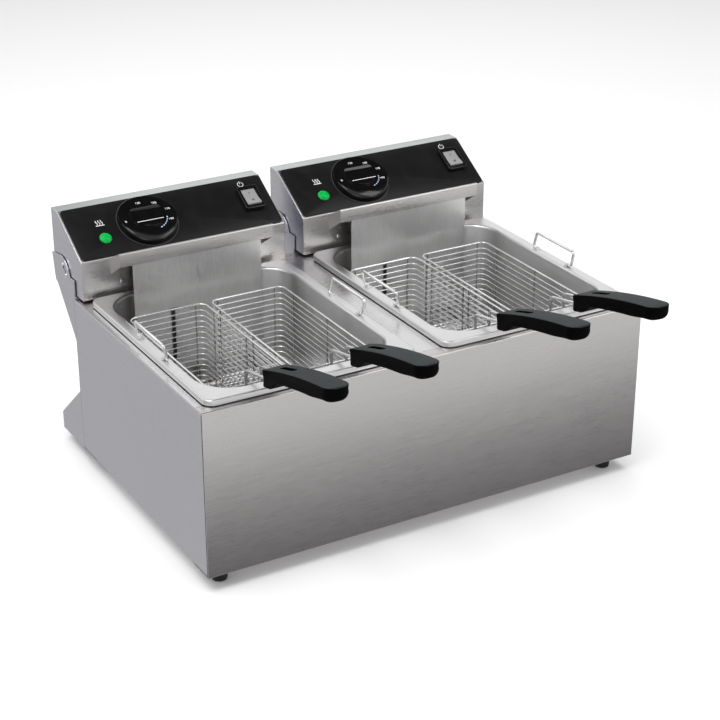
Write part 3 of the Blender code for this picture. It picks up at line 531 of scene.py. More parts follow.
# name, place, aimed at, width, height, power
LIGHTS = (
    ("key_softbox", (-1.3, -0.4, 2.1), (0, 0, 0.15), 1.2, 1.0, 16),
    ("rear_softbox", (1.1, 1.9, 1.3), (0, 0, 0.2), 1.6, 1.2, 2.3),
    ("ceiling", (0, 0, 3.2), (0, 0, 0), 3.0, 3.0, 55),
    ("edge_softbox", (-0.93, 1.72, 1.25), (0, 0, 0.25), 0.5, 0.5, 1.2),
    ("side_card", (-1.62, 0.87, 0.68), (-0.18, 0.24, 0.34), 0.35, 0.35, 1.2),
    ("front_fill", (1.2, -1.9, 1.0), (0, 0, 0.2), 0.9, 0.9, 4.5),
    ("dial_softbox", (0.62, -0.28, 1.22), (-0.03, 0.24, 0.33), 0.55, 0.5, 2.2),
)
NOT_MIRRORED = ("ceiling",)

CAMERA_PLACE = (-1.0349, -1.7641, 1.1207)
CAMERA_TURN = (radians(64.94), 0, radians(-30.02))
CAMERA_LENS = 91.1


def make_stage():
    """Pale floor; in reflections it is a painted reflection, graded darker ahead of the fryer as painted
    shade and even beside it.
    """
    floor = linked("floor", box((-FLOOR_REACH, -FLOOR_REACH, -0.02), (FLOOR_REACH, FLOOR_REACH, 0.0)))
    material = bpy.data.materials.new("floor_paper_and_painted_reflection")
    material.use_nodes = True
    tree = material.node_tree
    tree.nodes.clear()
    coords = node_of(tree, "TexCoord")
    depth = node_of(tree, "SeparateXYZ", {"Vector": coords.outputs["Object"]}).outputs["Y"]
    ahead = ranged(tree, depth, PAINTED_FLOOR_NEAR, PAINTED_FLOOR_FRONT, FRONT_Y - PAINTED_FLOOR_DEPTH, FRONT_Y)
    beside = node_of(tree, "Math", {0: depth, 1: FRONT_Y}, operation='GREATER_THAN')
    level = averaged(tree, ahead, PAINTED_FLOOR_BESIDE, beside.outputs[0])
    paper = node_of(tree, "BsdfDiffuse", {"Color": (0.93, 0.93, 0.93, 1)})
    # Seen only in reflections: painted reflection, darker near the fryer's front as painted shade.
    painted_reflection = node_of(tree, "Emission", {"Strength": level})
    path = node_of(tree, "LightPath")
    mix = node_of(tree, "MixShader", {
        "Fac": path.outputs["Is Glossy Ray"], 1: paper.outputs[0], 2: painted_reflection.outputs[0]})
    node_of(tree, "OutputMaterial", {"Surface": mix.outputs[0]})
    floor.data.materials.append(material)


def make_world():
    """Pale surroundings, with one soft dark flag high on the right."""
    world = bpy.data.worlds.new("studio")
    bpy.context.scene.world = world
    world.use_nodes = True
    tree = world.node_tree
    way = node_of(tree, "TexCoord").outputs["Generated"]
    split = node_of(tree, "SeparateXYZ", {"Vector": way})
    height = ranged(tree, split.outputs["Z"], 0.0, 1.0, -1.0, 1.0)
    ramp = node_of(tree, "ValToRGB", {"Fac": height})
    elements = ramp.color_ramp.elements
    while len(elements) < len(SKY):
        elements.new(0.5)
    for element, (position, level) in zip(elements, SKY):
        element.position = position
        element.color = (level, level, level, 1)
    towards = node_of(tree, "VectorMath", {0: way, 1: Vector(FLAG_WAY).normalized()},
                      operation='DOT_PRODUCT')
    open_share = ranged(tree, towards.outputs["Value"], 1.0, 0.03, *FLAG_EDGE)
    shaded = node_of(tree, "Mix", {0: 1.0, 6: ramp.outputs["Color"], 7: open_share},
                     data_type='RGBA', blend_type='MULTIPLY')
    feed(tree, tree.nodes["Background"], {"Color": shaded.outputs[2], "Strength": SKY_STRENGTH})


def make_lights_and_camera():
    for name, place, target, width, height, power in LIGHTS:
        light = bpy.data.lights.new(name, 'AREA')
        light.energy = power
        light.shape = 'RECTANGLE'
        light.size = width
        light.size_y = height
        obj = linked(name, light)
        way = Vector(target) - Vector(place)
        obj.matrix_world = moved(*place) @ way.to_track_quat('-Z', 'Y').to_matrix().to_4x4()
        obj.visible_glossy = name not in NOT_MIRRORED
    data = bpy.data.cameras.new("camera")
    data.lens = CAMERA_LENS
    data.sensor_width = 36
    data.clip_end = 50
    camera = linked("camera", data)
    camera.location = CAMERA_PLACE
    camera.rotation_euler = CAMERA_TURN
    bpy.context.scene.camera = camera
    bpy.context.scene.view_settings.view_transform = 'Standard'


# ---------------- cabinet

FRONT_FLANGE, REAR_FLANGE, SIDE_FLANGE, BASE_FLANGE = 0.017, 0.034, 0.009, 0.04


def sheet_piece(name, node, points, ends, material, place=side_on):
    """Folded sheet from the outer face of its section; place says which way it runs."""
    show(name, prism(bent_sheet(points, SHEET, FOLD), *ends, place), material, "cabinet", node)


def make_cabinet():
    front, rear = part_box("front_panel"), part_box("rear_panel")
    ends = (-front[1].x, front[1].x)
    top, low = front[1].z, front[0].z
    y0, y1 = front[0].y, rear[1].y
    points = [(y0 + FRONT_FLANGE, top), (y0, top), (y0, low), (y0 + BASE_FLANGE, low)]
    sheet_piece("front_sheet", "front_panel", points, ends, STEEL_X)
    points = [(y1 - BASE_FLANGE, low), (y1, low), (y1, top), (y1 - REAR_FLANGE, top)]
    sheet_piece("rear_sheet", "rear_panel", points, ends, STEEL_X)
    for name, side in SIDES:
        lo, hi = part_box("side_panel_" + name)
        outer = hi.x if side > 0 else lo.x
        inner = outer - side * SIDE_FLANGE
        points = [(inner, lo.z), (outer, lo.z), (outer, hi.z), (inner, hi.z)][::side]
        ends = (lo.y + SEAM, hi.y)
        sheet_piece("side_sheet_" + name, "side_panel_" + name, points, ends, STEEL_Y, end_on)
    dress("top_deck", STEEL_DECK)
    dress("bottom_plate", STEEL_X)
    ease_edges(dress("rear_spacer", STEEL_Y), 0.0006)
    for name, _ in SIDES:
        ease_edges(dress("head_cradle_" + name, STEEL_Y), 0.0003, 1)
        for place in ("front", "rear"):
            make_foot("foot_" + place + "_" + name)


def make_foot(node):
    """Turned rubber foot, drawn in where it meets the bench."""
    lo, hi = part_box(node)
    r = (hi.x - lo.x) / 2
    h = hi.z - lo.z
    profile = [(0, 0), (r * 0.72, 0), (r * 0.84, 0.0008), (r * 0.88, 0.0022), (r, h - 0.004),
               (r, h - 0.0012), (r - 0.001, h), (0, h)]
    centre = ((lo.x + hi.x) / 2, (lo.y + hi.y) / 2, lo.z)
    show("rubber_" + node, turned(profile, 40), RUBBER, "cabinet", node, matrix=moved(*centre))


# ---------------- tanks and bails

OPENING_HALF = 0.121
OPENING_CORNER, RIM_CORNER = 0.045, 0.014
OPENING = (0.027, 0.3295)  # how far the opening's front and rear edges lie behind the front
TANK_SKIN = 0.001
RIM_GAP = 0.0013  # from the deck to the rim's lower edge
RIM_BEND = 0.002
LIP = 0.0035  # radius at which the rim turns down into the wall
WALL_TAPER = 0.0015  # how far the wall leans in by the time it meets the floor
FLOOR_CORNER = 0.012
BAIL_X = 0.1285
BAIL_WIRE = 0.0018
BAIL_AXIS = 0.0015  # from the edge of the CAD bail's box to its wire's middle
BAIL_GAP = 0.0004  # between the rim and the wire
BAIL_HEIGHT = 0.019
BAIL_LEAN = radians(12)


def quarter(steps, first=0):
    """Angles of a quarter turn in equal steps."""
    return [pi / 2 * k / steps for k in range(first, steps + 1)]


def make_tank(name, side):
    """Tank with its rim as one closed skin: rim and inside first, then the outside from the floor up."""
    node = "tank_" + name
    lo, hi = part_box(node)
    centre = (lo.x + hi.x) / 2
    half, top, under = hi.x - centre, hi.z, lo.z
    front, rear = back(OPENING[0]), back(OPENING[1])

    def loop(half_x, low, high, radius, z):
        return [(centre + x, y, z) for x, y in rounded_rectangle(half_x, low, high, radius, 12)]

    def rim(inset, z):
        return loop(half - inset, lo.y + inset, hi.y - inset, RIM_CORNER - min(inset, 0.01), z)

    def wall(inset, z):
        return loop(OPENING_HALF - inset, front + inset, rear - inset, OPENING_CORNER - inset, z)

    def dish(skin):
        reach = FLOOR_CORNER + skin
        return [wall(WALL_TAPER - skin + reach * (1 - cos(a)),
                     under + TANK_SKIN - skin + reach * (1 - sin(a))) for a in quarter(5)]

    inside = [rim(0, DECK_Z + RIM_GAP), rim(0, top - 0.0022)]
    inside += [rim(RIM_BEND * (1 - cos(a)), top - RIM_BEND * (1 - sin(a))) for a in quarter(4, 1)]
    inside += [rim(0.004, top), wall(-LIP - 0.001, top)]
    inside += [wall(-LIP * (1 - sin(a)), top - LIP * (1 - cos(a))) for a in quarter(4)]
    inside += dish(0.0)
    outside = dish(TANK_SKIN)[::-1]
    outside += [wall(-TANK_SKIN, top - LIP - 0.001), wall(-LIP - TANK_SKIN * 1.5, top - TANK_SKIN),
                rim(0.0045, top - TANK_SKIN), rim(TANK_SKIN, top - 0.004),
                rim(TANK_SKIN, DECK_Z + RIM_GAP)]
    loops = inside + outside
    count, floor_loop = len(loops[0]), len(inside) - 1
    faces = []
    for r in range(len(loops)):
        a, b = r * count, (r + 1) % len(loops) * count
        if r != floor_loop:
            faces += [(a + k, a + (k + 1) % count, b + (k + 1) % count, b + k) for k in range(count)]
    faces.append(tuple(floor_loop * count + k for k in range(count)))
    faces.append(tuple((floor_loop + 1) * count + k for k in range(count))[::-1])
    verts = [v for ring in loops for v in ring]
    show("fry_tank_" + name, mesh_of("fry_tank", verts, faces, 30), TANK_STEEL, node, node)
    for place, way in (("outer", side), ("inner", -side)):
        make_bail(name, place, centre + way * BAIL_X, way, node)


def make_bail(name, place, x, way, tank):
    """Wire handle on the tank's flange, with the pressed eyes that hold its toes."""
    node = f"bail_{name}_{place}"
    lo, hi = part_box(node)
    y0, y1 = lo.y + BAIL_AXIS, hi.y - BAIL_AXIS
    z = RIM_Z + BAIL_GAP + BAIL_AXIS
    lean = moved(x, 0, z) @ Matrix.Rotation(way * BAIL_LEAN, 4, 'Y')
    corners = [(0, y0 + 0.005, 0), (0, y0, 0), (0, y0 + 0.0008, BAIL_HEIGHT), (0, y1 - 0.0008, BAIL_HEIGHT),
               (0, y1, 0), (0, y1 - 0.005, 0)]
    wire = tube(rounded_path(corners, 0.0035, 6), BAIL_WIRE, 12)
    show(node + "_wire", wire, BRIGHT, node, node, matrix=lean)
    arch = [(0.0026 * cos(t), 0.0023 * sin(t)) for t in [pi * s / 10 for s in range(11)]]
    foot = [(0.0044, -0.0015), (0.0044, -0.001), (0.0026, -0.001)]
    outline = foot + arch + [(-u, v) for u, v in foot[::-1]]
    for label, y, inward in (("front", y0, 1), ("rear", y1, -1)):
        low, high = sorted((y + inward * 0.0055, y + inward * 0.0105))
        eye = prism(outline, low, high, lambda u, v, w: (x + u, w, z + v - 0.0002))
        show(f"{node}_eye_{label}", eye, TANK_STEEL, tank, slot="tank_steel")


# ---------------- baskets

RIM_WIRE = 0.0013
RING_WIRE = 0.0007
STRUT_WIRE = 0.001
RING_PITCH = 0.0075
CROSS_STRUTS = ((-0.0885, 0.0009), (-0.001, 0.001), (0.088, 0.0009))  # place along Y, radius
LONG_STRUTS = (-0.04, 0.04)  # places along X
MESH_COLUMNS, MESH_ROWS = 13, 30  # squares of the bottom mesh
BRACKET_WIRE = 0.002
BRACKET_HALF = 0.01
BRACKET_END_Z = 0.252
BRACKET_LOW_Z = 0.16
BRACKET_FALL = 0.198  # slope of its arms


def mesh_edge(i, count):
    """Gap at the ends of a mesh wire; the outermost ones stop short of the round corners."""
    return 0.0055 if 1 < i < count - 1 else 0.012


def make_basket(name, way_name):
    """Basket of wire: rim, rings round it, struts down and under, and a square mesh on the bottom."""
    label = name + "_" + way_name
    node = "basket_cage_" + label
    body = "basket_" + label
    lo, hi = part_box(node)
    centre = (lo.x + hi.x) / 2
    half = (hi.x - lo.x) / 2
    y0, y1, z0, z1 = lo.y, hi.y, lo.z, hi.z
    meshes, struts = [], []

    def ring(inset, z, radius, sides=8):
        outline = rounded_rectangle(half - inset, y0 + inset, y1 - inset, 0.012 - inset, 7)
        meshes.append(tube([(centre + x, y, z) for x, y in outline], radius, sides, True))

    def mesh_wire(x0, x1, y_low, y_high, z):
        meshes.append(tube([(x0, y_low, z), (x1, y_high, z)], RING_WIRE * 0.9, 6))

    def strut(points, radius):
        corners = [(centre + x, y, z) for x, y, z in points]
        struts.append(tube(rounded_path(corners, 0.007, 4), radius, 8))

    ring(RIM_WIRE, z1 - RIM_WIRE, RIM_WIRE, 10)
    hoop = STRUT_WIRE * 2 + RING_WIRE
    z = z1 - RIM_WIRE - RING_PITCH
    while z > z0 + 0.0065:
        ring(hoop + 0.0001, z, RING_WIRE)
        z -= RING_PITCH
    ring(hoop + 0.0022, z0 + STRUT_WIRE * 2 + RING_WIRE + 0.0012, RING_WIRE)
    under, top = z0 + STRUT_WIRE, z1 - RIM_WIRE
    side = half - STRUT_WIRE - 0.0002
    for offset, radius in CROSS_STRUTS:
        y = (y0 + y1) / 2 + offset
        strut([(-side, y, top), (-side, y, under), (side, y, under), (side, y, top)], radius)
    near, far, bed = y0 + STRUT_WIRE, y1 - STRUT_WIRE, under + 2 * STRUT_WIRE
    for x in LONG_STRUTS:
        strut([(x, near, top), (x, near, bed), (x, far, bed), (x, far, top)], STRUT_WIRE)
    mesh_z = under + STRUT_WIRE + RING_WIRE * 1.2
    for i in range(1, MESH_COLUMNS):
        x, edge = lo.x + (hi.x - lo.x) * i / MESH_COLUMNS, mesh_edge(i, MESH_COLUMNS)
        mesh_wire(x, x, y0 + edge, y1 - edge, mesh_z)
    for i in range(1, MESH_ROWS):
        y, edge = y0 + (y1 - y0) * i / MESH_ROWS, mesh_edge(i, MESH_ROWS)
        mesh_wire(lo.x + edge, hi.x - edge, y, y, mesh_z + RING_WIRE * 1.7)
    show("wire_" + node, merged("wire_basket", meshes), WIRE, body, node)
    # Struts wear the darker wire: painted shade.
    show("struts_" + node, merged("wire_struts", struts), STRUT_PAINTED_SHADE, body, slot="wire_steel")
    make_bracket(label, body, centre)
    make_grip(label, body, centre)


def make_bracket(label, body, centre):
    """Bent wire that carries the grip on the basket's front wall."""
    node = "handle_bracket_" + label
    lo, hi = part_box(node)
    wall, end = hi.y - BRACKET_WIRE, lo.y
    arm = [(end, BRACKET_END_Z), (wall, BRACKET_END_Z - BRACKET_FALL * (wall - end)), (wall, BRACKET_LOW_Z)]
    corners = [(-BRACKET_HALF, y, z) for y, z in arm] + [(BRACKET_HALF, y, z) for y, z in arm[::-1]]
    mesh = tube(rounded_path(corners, 0.007, 6), BRACKET_WIRE, 12)
    show("wire_" + node, mesh, BRIGHT, body, node, matrix=moved(centre, 0, 0))


# Along a grip, t is the distance from its rear end towards its tip.
GRIP_LENGTH = 0.153
GRIP_TOP_Z = 0.264
GRIP_CLIMB = 0.36
GRIP_ARCH = 0.7
GRIP_THICK = 0.0145
GRIP_TAPER = 0.026
GRIP_HALF = 0.015
GRIP_EDGE = 0.0014
GRIP_BELLY = 0.0022
TIP_BELLY = 0.0085
TIP_RISE = 0.006  # how far the underside curves up at the very tip
GROOVE_DEPTH = 0.0006
BLOCK_END = 0.016  # end of the deep block that holds the bracket
HANDLE_START = 0.0374
SLOT = (0.0205, 0.0525)  # ends of the slot in the top, along t
SLOT_HALF = 0.004
SLOT_MIDDLE = 0.034
SLOT_CLIMB = 0.311  # slope of the slot's floor


def eased(share):
    """Smooth step from 0 to 1."""
    share = min(1.0, max(0.0, share))
    return share * share * (3 - 2 * share)


def grip_top(t):
    return GRIP_TOP_Z + GRIP_CLIMB * t - GRIP_ARCH * t * t


def grip_bottom(t):
    """Underside: a deep block by the bracket, then the slimmer handle."""
    share = eased((t - BLOCK_END) / (HANDLE_START - BLOCK_END))
    block = 0.2435 + 0.18 * t
    return block * (1 - share) + (grip_top(t) - GRIP_THICK - GRIP_TAPER * t * share) * share


def groove_points(side, y, half, high, low, downwards):
    """Shallow hollow along the side of the grip; it fades out towards the ends."""
    depth = GROOVE_DEPTH * min(1.0, max(0.0, half - 0.01) / 0.003)
    shares = (0.15, 0.3, 0.5, 0.7, 0.85)
    levels = [high + (low - high) * share for share in (shares if downwards else shares[::-1])]
    middle, reach = (high + low) / 2, (high - low) / 2
    return [(side * (half - depth * (1 - ((z - middle) / reach) ** 2)), y, z) for z in levels]


def grip_section(y, half, top, bottom, belly):
    """Section across the grip: nearly square above, rounded by belly below."""
    limit = min(0.48 * (top - bottom), 0.96 * half)
    edge, belly = min(GRIP_EDGE, limit), min(belly, limit)
    points = []
    for cx, cz, start in ((half, top, 0), (-half, top, 90), (-half, bottom, 180), (half, bottom, 270)):
        radius = edge if cz == top else belly
        ox = cx - radius if cx > 0 else cx + radius
        oz = cz - radius if start in (0, 90) else cz + radius
        for s in range(7):
            a = radians(start + 90 * s / 6)
            points.append((ox + radius * cos(a), y, oz + radius * sin(a)))
        if start in (90, 270):
            points += groove_points(ox / abs(ox), y, half, top - edge, bottom + belly, start == 90)
    return points


def grip_ring(rear, t):
    """Section at t: rounded off towards both ends, and slanted by the bracket."""
    along = min(1.0, max(0.0, t - (GRIP_LENGTH - GRIP_HALF)) / GRIP_HALF)
    bow = sqrt(1 - along * along)
    shrink = max(0.0, 0.0022 - t) * 0.55
    droop = max(0.0, t - (GRIP_LENGTH - 0.004)) * 0.45
    belly = GRIP_BELLY + (TIP_BELLY - GRIP_BELLY) * eased((t - (GRIP_LENGTH - 0.045)) / 0.03)
    ring = grip_section(rear - t, max(GRIP_HALF * bow, 0.0006) - shrink, grip_top(t) - shrink - droop,
                        grip_bottom(t) + shrink + TIP_RISE * (1 - bow), belly)
    slant = 0.12 * max(0.0, 1 - t / BLOCK_END)
    return [(x, y - slant * (grip_top(t) - z), z) for x, y, z in ring]


def make_grip(label, body, centre):
    """Moulded grip with a slot near its rear end; its upper face is painted slightly paler as painted light
    from above.
    """
    node = "basket_handle_" + label
    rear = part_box(node)[1].y
    round_start = GRIP_LENGTH - GRIP_HALF
    stations = [0.0, 0.0006, 0.0015, 0.003] + [0.003 + 0.0045 * k for k in range(1, 31)]
    stations = [t for t in stations if t < round_start]
    stations += [round_start + GRIP_HALF * sin(a) for a in quarter(12)[:-1]]
    stations.append(round_start + GRIP_HALF * 0.9995)
    mesh = lofted([grip_ring(rear, t) for t in stations], angle=40)
    obj = show("grip_" + node, mesh, GRIP_BLACK, body, node, matrix=moved(centre, 0, 0))
    plan = rounded_rectangle(SLOT_HALF, rear - SLOT[1], rear - SLOT[0], SLOT_HALF * 0.98, 8)

    def along_top(u, v, w):
        return (centre + u, v, grip_top(SLOT_MIDDLE) + SLOT_CLIMB * (rear - SLOT_MIDDLE - v) + w)

    carve(obj, prism(plan, -0.0045, 0.01, along_top))
    # Upward faces on the grip's top get the paler copy: painted light.
    obj.data.materials.append(GRIP_TOP_PAINTED_LIGHT)
    for face in obj.data.polygons:
        if face.normal.z > 0.75 and face.center.z > grip_top(rear - face.center.y) - 0.001:
            face.material_index = 1


# ---------------- control heads

HEAD_LOW_Z = 0.2325
SWITCH_HOLE = (0.012, 0.0155)  # half sizes
SPINDLE_HOLE = 0.0042  # radii
LAMP_HOLE = 0.0067
PANEL_HALF = (0.139, 0.041)
PANEL_TOP = 0.0019  # height of the black panel above the steel
PRINT = (0.00185, 0.00205)  # lower and upper side of the print on it
LAMP_BASE = 0.0023
KNOB_RADIUS = 0.038
KNOB_TILT = radians(8)
BOSS_RADIUS = 0.0225
BOSS_FLAT = 0.0125
BOSS_HEIGHT = 0.0035
BOSS_DIP = 0.0014  # depth of the hollow in its top
BOSS_OFFSET = 0.0035
DIAL_NUMBERS = (("0", 0.0315, 184), ("120", 0.0268, 98), ("150", 0.0274, 53), ("170", 0.0298, 14),
                ("190", 0.0285, -23))       # text, distance from the middle, angle in degrees
DASHES = [radians(-68 + 10.4 * k) for k in range(6)]
DASH_ENDS = (0.0229, 0.0243)
ROCKER_RADIUS = 0.0133
ROCKER_TILT = radians(7)
HOOD_HALF = 0.1055
HOOD_LIP = 0.3155  # how far the hood's lip lies behind the cabinet's front
HOOD_LIP_Z = (0.281, 0.2995)
ELEMENT_RODS = (-0.075, -0.025)  # the left half; the right one mirrors it
ELEMENT_WIRE, BULB_WIRE, ROD_BEND = 0.0035, 0.0025, 0.0115
REAR_PARTS_X, REAR_PARTS_Z = 0.095, 0.262
FACE_SCREWS = (-0.0885, 0.102)
EAR_PINS = ((0.3945, 0.2515), (0.404, 0.2625))  # distance behind the front, height


def on_panel(side, x=0.0, s=0.0):
    """Matrix at a place on the sloping face: X right, Y up the slope, Z out of it."""
    corner = moved(side * TANK_X, back(HEAD_FACE), PANEL_LOW_Z)
    return corner @ Matrix.Rotation(PANEL_SLOPE, 4, 'X') @ moved(x, s, 0)


def head_profile(inset, rear):
    """Side view of the head's housing, drawn in by inset everywhere but at the rear."""
    front = back(HEAD_FACE)
    run_y, run_z = PANEL_RUN * cos(PANEL_SLOPE), PANEL_RUN * sin(PANEL_SLOPE)
    low = inset * tan((pi / 2 - PANEL_SLOPE) / 2)
    high = inset * tan(PANEL_SLOPE / 2)
    base, top = HEAD_LOW_Z + inset, PANEL_LOW_Z + run_z - inset
    return [(rear, base), (front + inset, base), (front + inset, PANEL_LOW_Z - low),
            (front + run_y + high, top), (rear, top)]


def cut_openings(obj, at):
    """Holes for the switch, the dial's spindle and the lamp; at places the sloping face."""
    x, y = SWITCH_HOLE
    window = box((-x, -y, -0.01), (x, y, 0.01))
    window.transform(at @ moved(*SWITCH_AT, 0))
    carve(obj, window)
    for place, r in ((DIAL_AT, SPINDLE_HOLE), (LAMP_AT, LAMP_HOLE)):
        hole = turned([(0, -0.01), (r, -0.01), (r, 0.01), (0, 0.01)], 24)
        hole.transform(at @ moved(*place, 0))
        carve(obj, hole)


def make_housing(name, side):
    """Folded steel box, open at the rear."""
    centre = side * TANK_X
    node = "head_housing_" + name
    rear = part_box(node)[1].y

    def at_rear(edge):
        return all(abs(v.co.y - rear) < 1e-6 for v in edge.verts)

    solid = prism(head_profile(0, rear), centre - HEAD_HALF, centre + HEAD_HALF, side_on)
    obj = show("housing_" + name, softened(solid, 0.0011, 3, 11.46, at_rear), STEEL_X, "head_" + name, node)
    hollow = HEAD_HALF - SHEET
    carve(obj, prism(head_profile(SHEET, rear + 0.01), centre - hollow, centre + hollow, side_on))
    cut_openings(obj, on_panel(side))
    obj.data.materials.append(STEEL_Y)
    # Upward faces of the same folded sheet get the darker copy: painted shade.
    obj.data.materials.append(STEEL_TOP_PAINTED_SHADE)
    for face in obj.data.polygons:
        if abs(face.normal.x) > 0.9:
            face.material_index = 1
        elif face.normal.z > 0.9:
            face.material_index = 2


def make_panel(name, side):
    """Black overlay with its window for the switch."""
    half, reach = PANEL_HALF
    outline = rounded_rectangle(half, PANEL_RUN / 2 - reach, PANEL_RUN / 2 + reach, 0.006, 8)
    mesh = softened(prism(outline, 0.0004, PANEL_TOP, flat), 0.0004, 2, 60)
    obj = show("panel_" + name, mesh, PANEL_BLACK, "head_" + name, "control_panel_" + name)
    cut_openings(obj, Matrix.Identity(4))
    obj.data.transform(on_panel(side))


def flat_ring(r0, r1, z0, z1, start=0.0, end=360.0, segments=48):
    """Flat ring or part of one, standing z0 to z1 high."""
    if abs(end - start) >= 360:
        return turned([(r0, z0), (r1, z0), (r1, z1), (r0, z1)], segments)
    angles = [radians(start + (end - start) * k / segments) for k in range(segments + 1)]
    outline = [polar(r1, a) for a in angles] + [polar(r0, a) for a in angles[::-1]]
    return prism(outline, z0, z1, flat)


def bar(x0, y0, x1, y1, width, z0, z1):
    """Printed or raised straight line."""
    way = Vector((x1 - x0, y1 - y0)).normalized()
    n = Vector((-way.y, way.x)) * width / 2
    outline = [(x0 + n.x, y0 + n.y), (x0 - n.x, y0 - n.y), (x1 - n.x, y1 - n.y), (x1 + n.x, y1 + n.y)]
    return prism(outline, z0, z1, flat)


def digits(text, size, height):
    """Plain numerals as a thin solid, centred on the origin."""
    curve = bpy.data.curves.new("digits", 'FONT')
    curve.body = text
    curve.size = size
    curve.align_x = curve.align_y = 'CENTER'
    curve.extrude = height / 2
    holder = linked("digits", curve)
    mesh = evaluated(holder)
    bpy.data.objects.remove(holder)
    with opened(mesh) as work:
        bmesh.ops.remove_doubles(work, verts=work.verts, dist=WELD)
    return mesh


def make_icons(name, side):
    """Generic marks: power sign by the switch, heat sign by the lamp, and a grey ring round the knob that
    is a painted highlight of its base edge.
    """
    body = "head_" + name
    power = [flat_ring(0.0033, 0.0041, *PRINT, 120, 420, 40), bar(0, 0.0008, 0, 0.0052, 0.0008, *PRINT)]
    waves = []
    for k in (-1, 0, 1):
        points = [(k * 0.0034 + 0.0009 * sin(s * pi / 3), -0.003 + 0.0011 * s) for s in range(7)]
        waves += [bar(*a, *b, 0.0009, *PRINT) for a, b in zip(points, points[1:])]
    waves.append(bar(-0.0056, -0.0046, 0.0056, -0.0046, 0.0011, *PRINT))
    # Grey ring just outside the knob: a painted highlight of the knob's base edge, not print.
    ring = [flat_ring(0.0396, 0.0401, PRINT[0], 0.002, segments=72)]
    for label, meshes, ink, place in (("power_mark_", power, INK_WHITE, (0.108, 0.072)),
                                      ("heat_mark_", waves, INK_WHITE, (-0.0967, 0.054)),
                                      ("dial_painted_highlight_", ring, INK_GREY_AND_PAINTED_HIGHLIGHT, DIAL_AT)):
        show(label + name, merged(label, meshes), ink, body, slot="panel_black",
             matrix=on_panel(side, *place))


def boss_mesh():
    """Round boss, straight on its far side, its top sunk below a lip along that side."""
    half = degrees(acos(BOSS_FLAT / BOSS_RADIUS))
    angles = [radians(90 + half + (360 - 2 * half) * k / 48) for k in range(49)]
    blank = prism([polar(BOSS_RADIUS, a) for a in angles], -0.003, BOSS_HEIGHT, flat)
    holder = linked("boss", softened(blank, 0.0027, 5, 50))
    sunk = BOSS_HEIGHT - BOSS_DIP
    hollow = [(-0.03, sunk + 0.0012), (-0.0185, sunk), (0.0075, sunk), (0.0108, BOSS_HEIGHT),
              (0.0108, 0.01), (-0.03, 0.01)]
    carve(holder, prism(hollow, -0.03, 0.03, side_on))
    mesh = holder.data
    bpy.data.objects.remove(holder)
    return mesh


def make_knob(name, side):
    """Gloss black dial: upright rim, shallow cone, slanting face, boss with its pointer, markings."""
    body = "knob_" + name
    at = on_panel(side, *DIAL_AT)
    base, wall = PANEL_TOP + 0.0004, PANEL_TOP + 0.0095
    r = KNOB_RADIUS
    blank = [(0, base), (r - 0.0006, base), (r, base + 0.0006), (r, wall - 0.0026),
             (r - 0.0005, wall - 0.0012), (r - 0.0016, wall - 0.0002), (r - 0.003, wall + 0.0003),
             (0, PANEL_TOP + 0.0157)]
    obj = show("dial_" + name, turned(blank, 96), KNOB_BLACK, body, body)
    face = moved(0, r, PANEL_TOP + 0.0026) @ Matrix.Rotation(-KNOB_TILT, 4, 'X')
    cutter = box((-0.06, -0.12, 0), (0.06, 0.03, 0.06))
    cutter.transform(face)
    carve(obj, cutter)
    boss = boss_mesh()
    boss.transform(face @ moved(0, BOSS_OFFSET - r, 0))
    carve(obj, boss, 'UNION')
    carve(obj, turned([(0, 0.001), (0.0034, 0.001), (0.0034, 0.0105), (0, 0.0105)], 24))
    obj.data.transform(at)
    lift = BOSS_HEIGHT - BOSS_DIP
    pointer = bar(-0.019, -0.0085, 0.017, -0.0085, 0.0009, lift - 0.0002, lift + 0.0002)
    numbers = []
    for value, reach, angle in DIAL_NUMBERS:
        text = digits(value, 0.0048, 0.00025)
        text.transform(moved(*polar(reach, radians(angle)), 0.0001))
        numbers.append(text)
    near, far = DASH_ENDS
    ticks = [bar(*polar(near, a), *polar(far, a), 0.0022, 0, 0.0002) for a in DASHES]
    on_face = at @ face @ moved(0, -r, 0)
    for label, meshes, ink in (("dial_pointer_", [pointer], INK_WHITE),
                               ("dial_numbers_", numbers, INK_WHITE), ("dial_ticks_", ticks, INK_BLUE)):
        show(label + name, merged(label, meshes), ink, body, slot="knob_black", matrix=on_face)


def make_lamp(name, side):
    """Domed lens with one raised rib."""
    at, base, body = on_panel(side, *LAMP_AT), LAMP_BASE, "head_" + name
    dome = [(0, base + 0.0034), (0.003, base + 0.0033), (0.0052, base + 0.0029), (0.0067, base + 0.0021),
            (0.0076, base + 0.0011), (0.008, base), (0.0062, base), (0.0062, -0.01), (0, -0.01)]
    show("lamp_" + name, turned(dome, 40), LENS_GREEN, body, "indicator_lens_" + name, matrix=at)
    rib = flat_ring(0.0048, 0.0053, base + 0.0024, base + 0.0033, segments=40)
    show("lamp_rib_" + name, rib, LENS_GREEN, body, slot="green_lens", matrix=at)


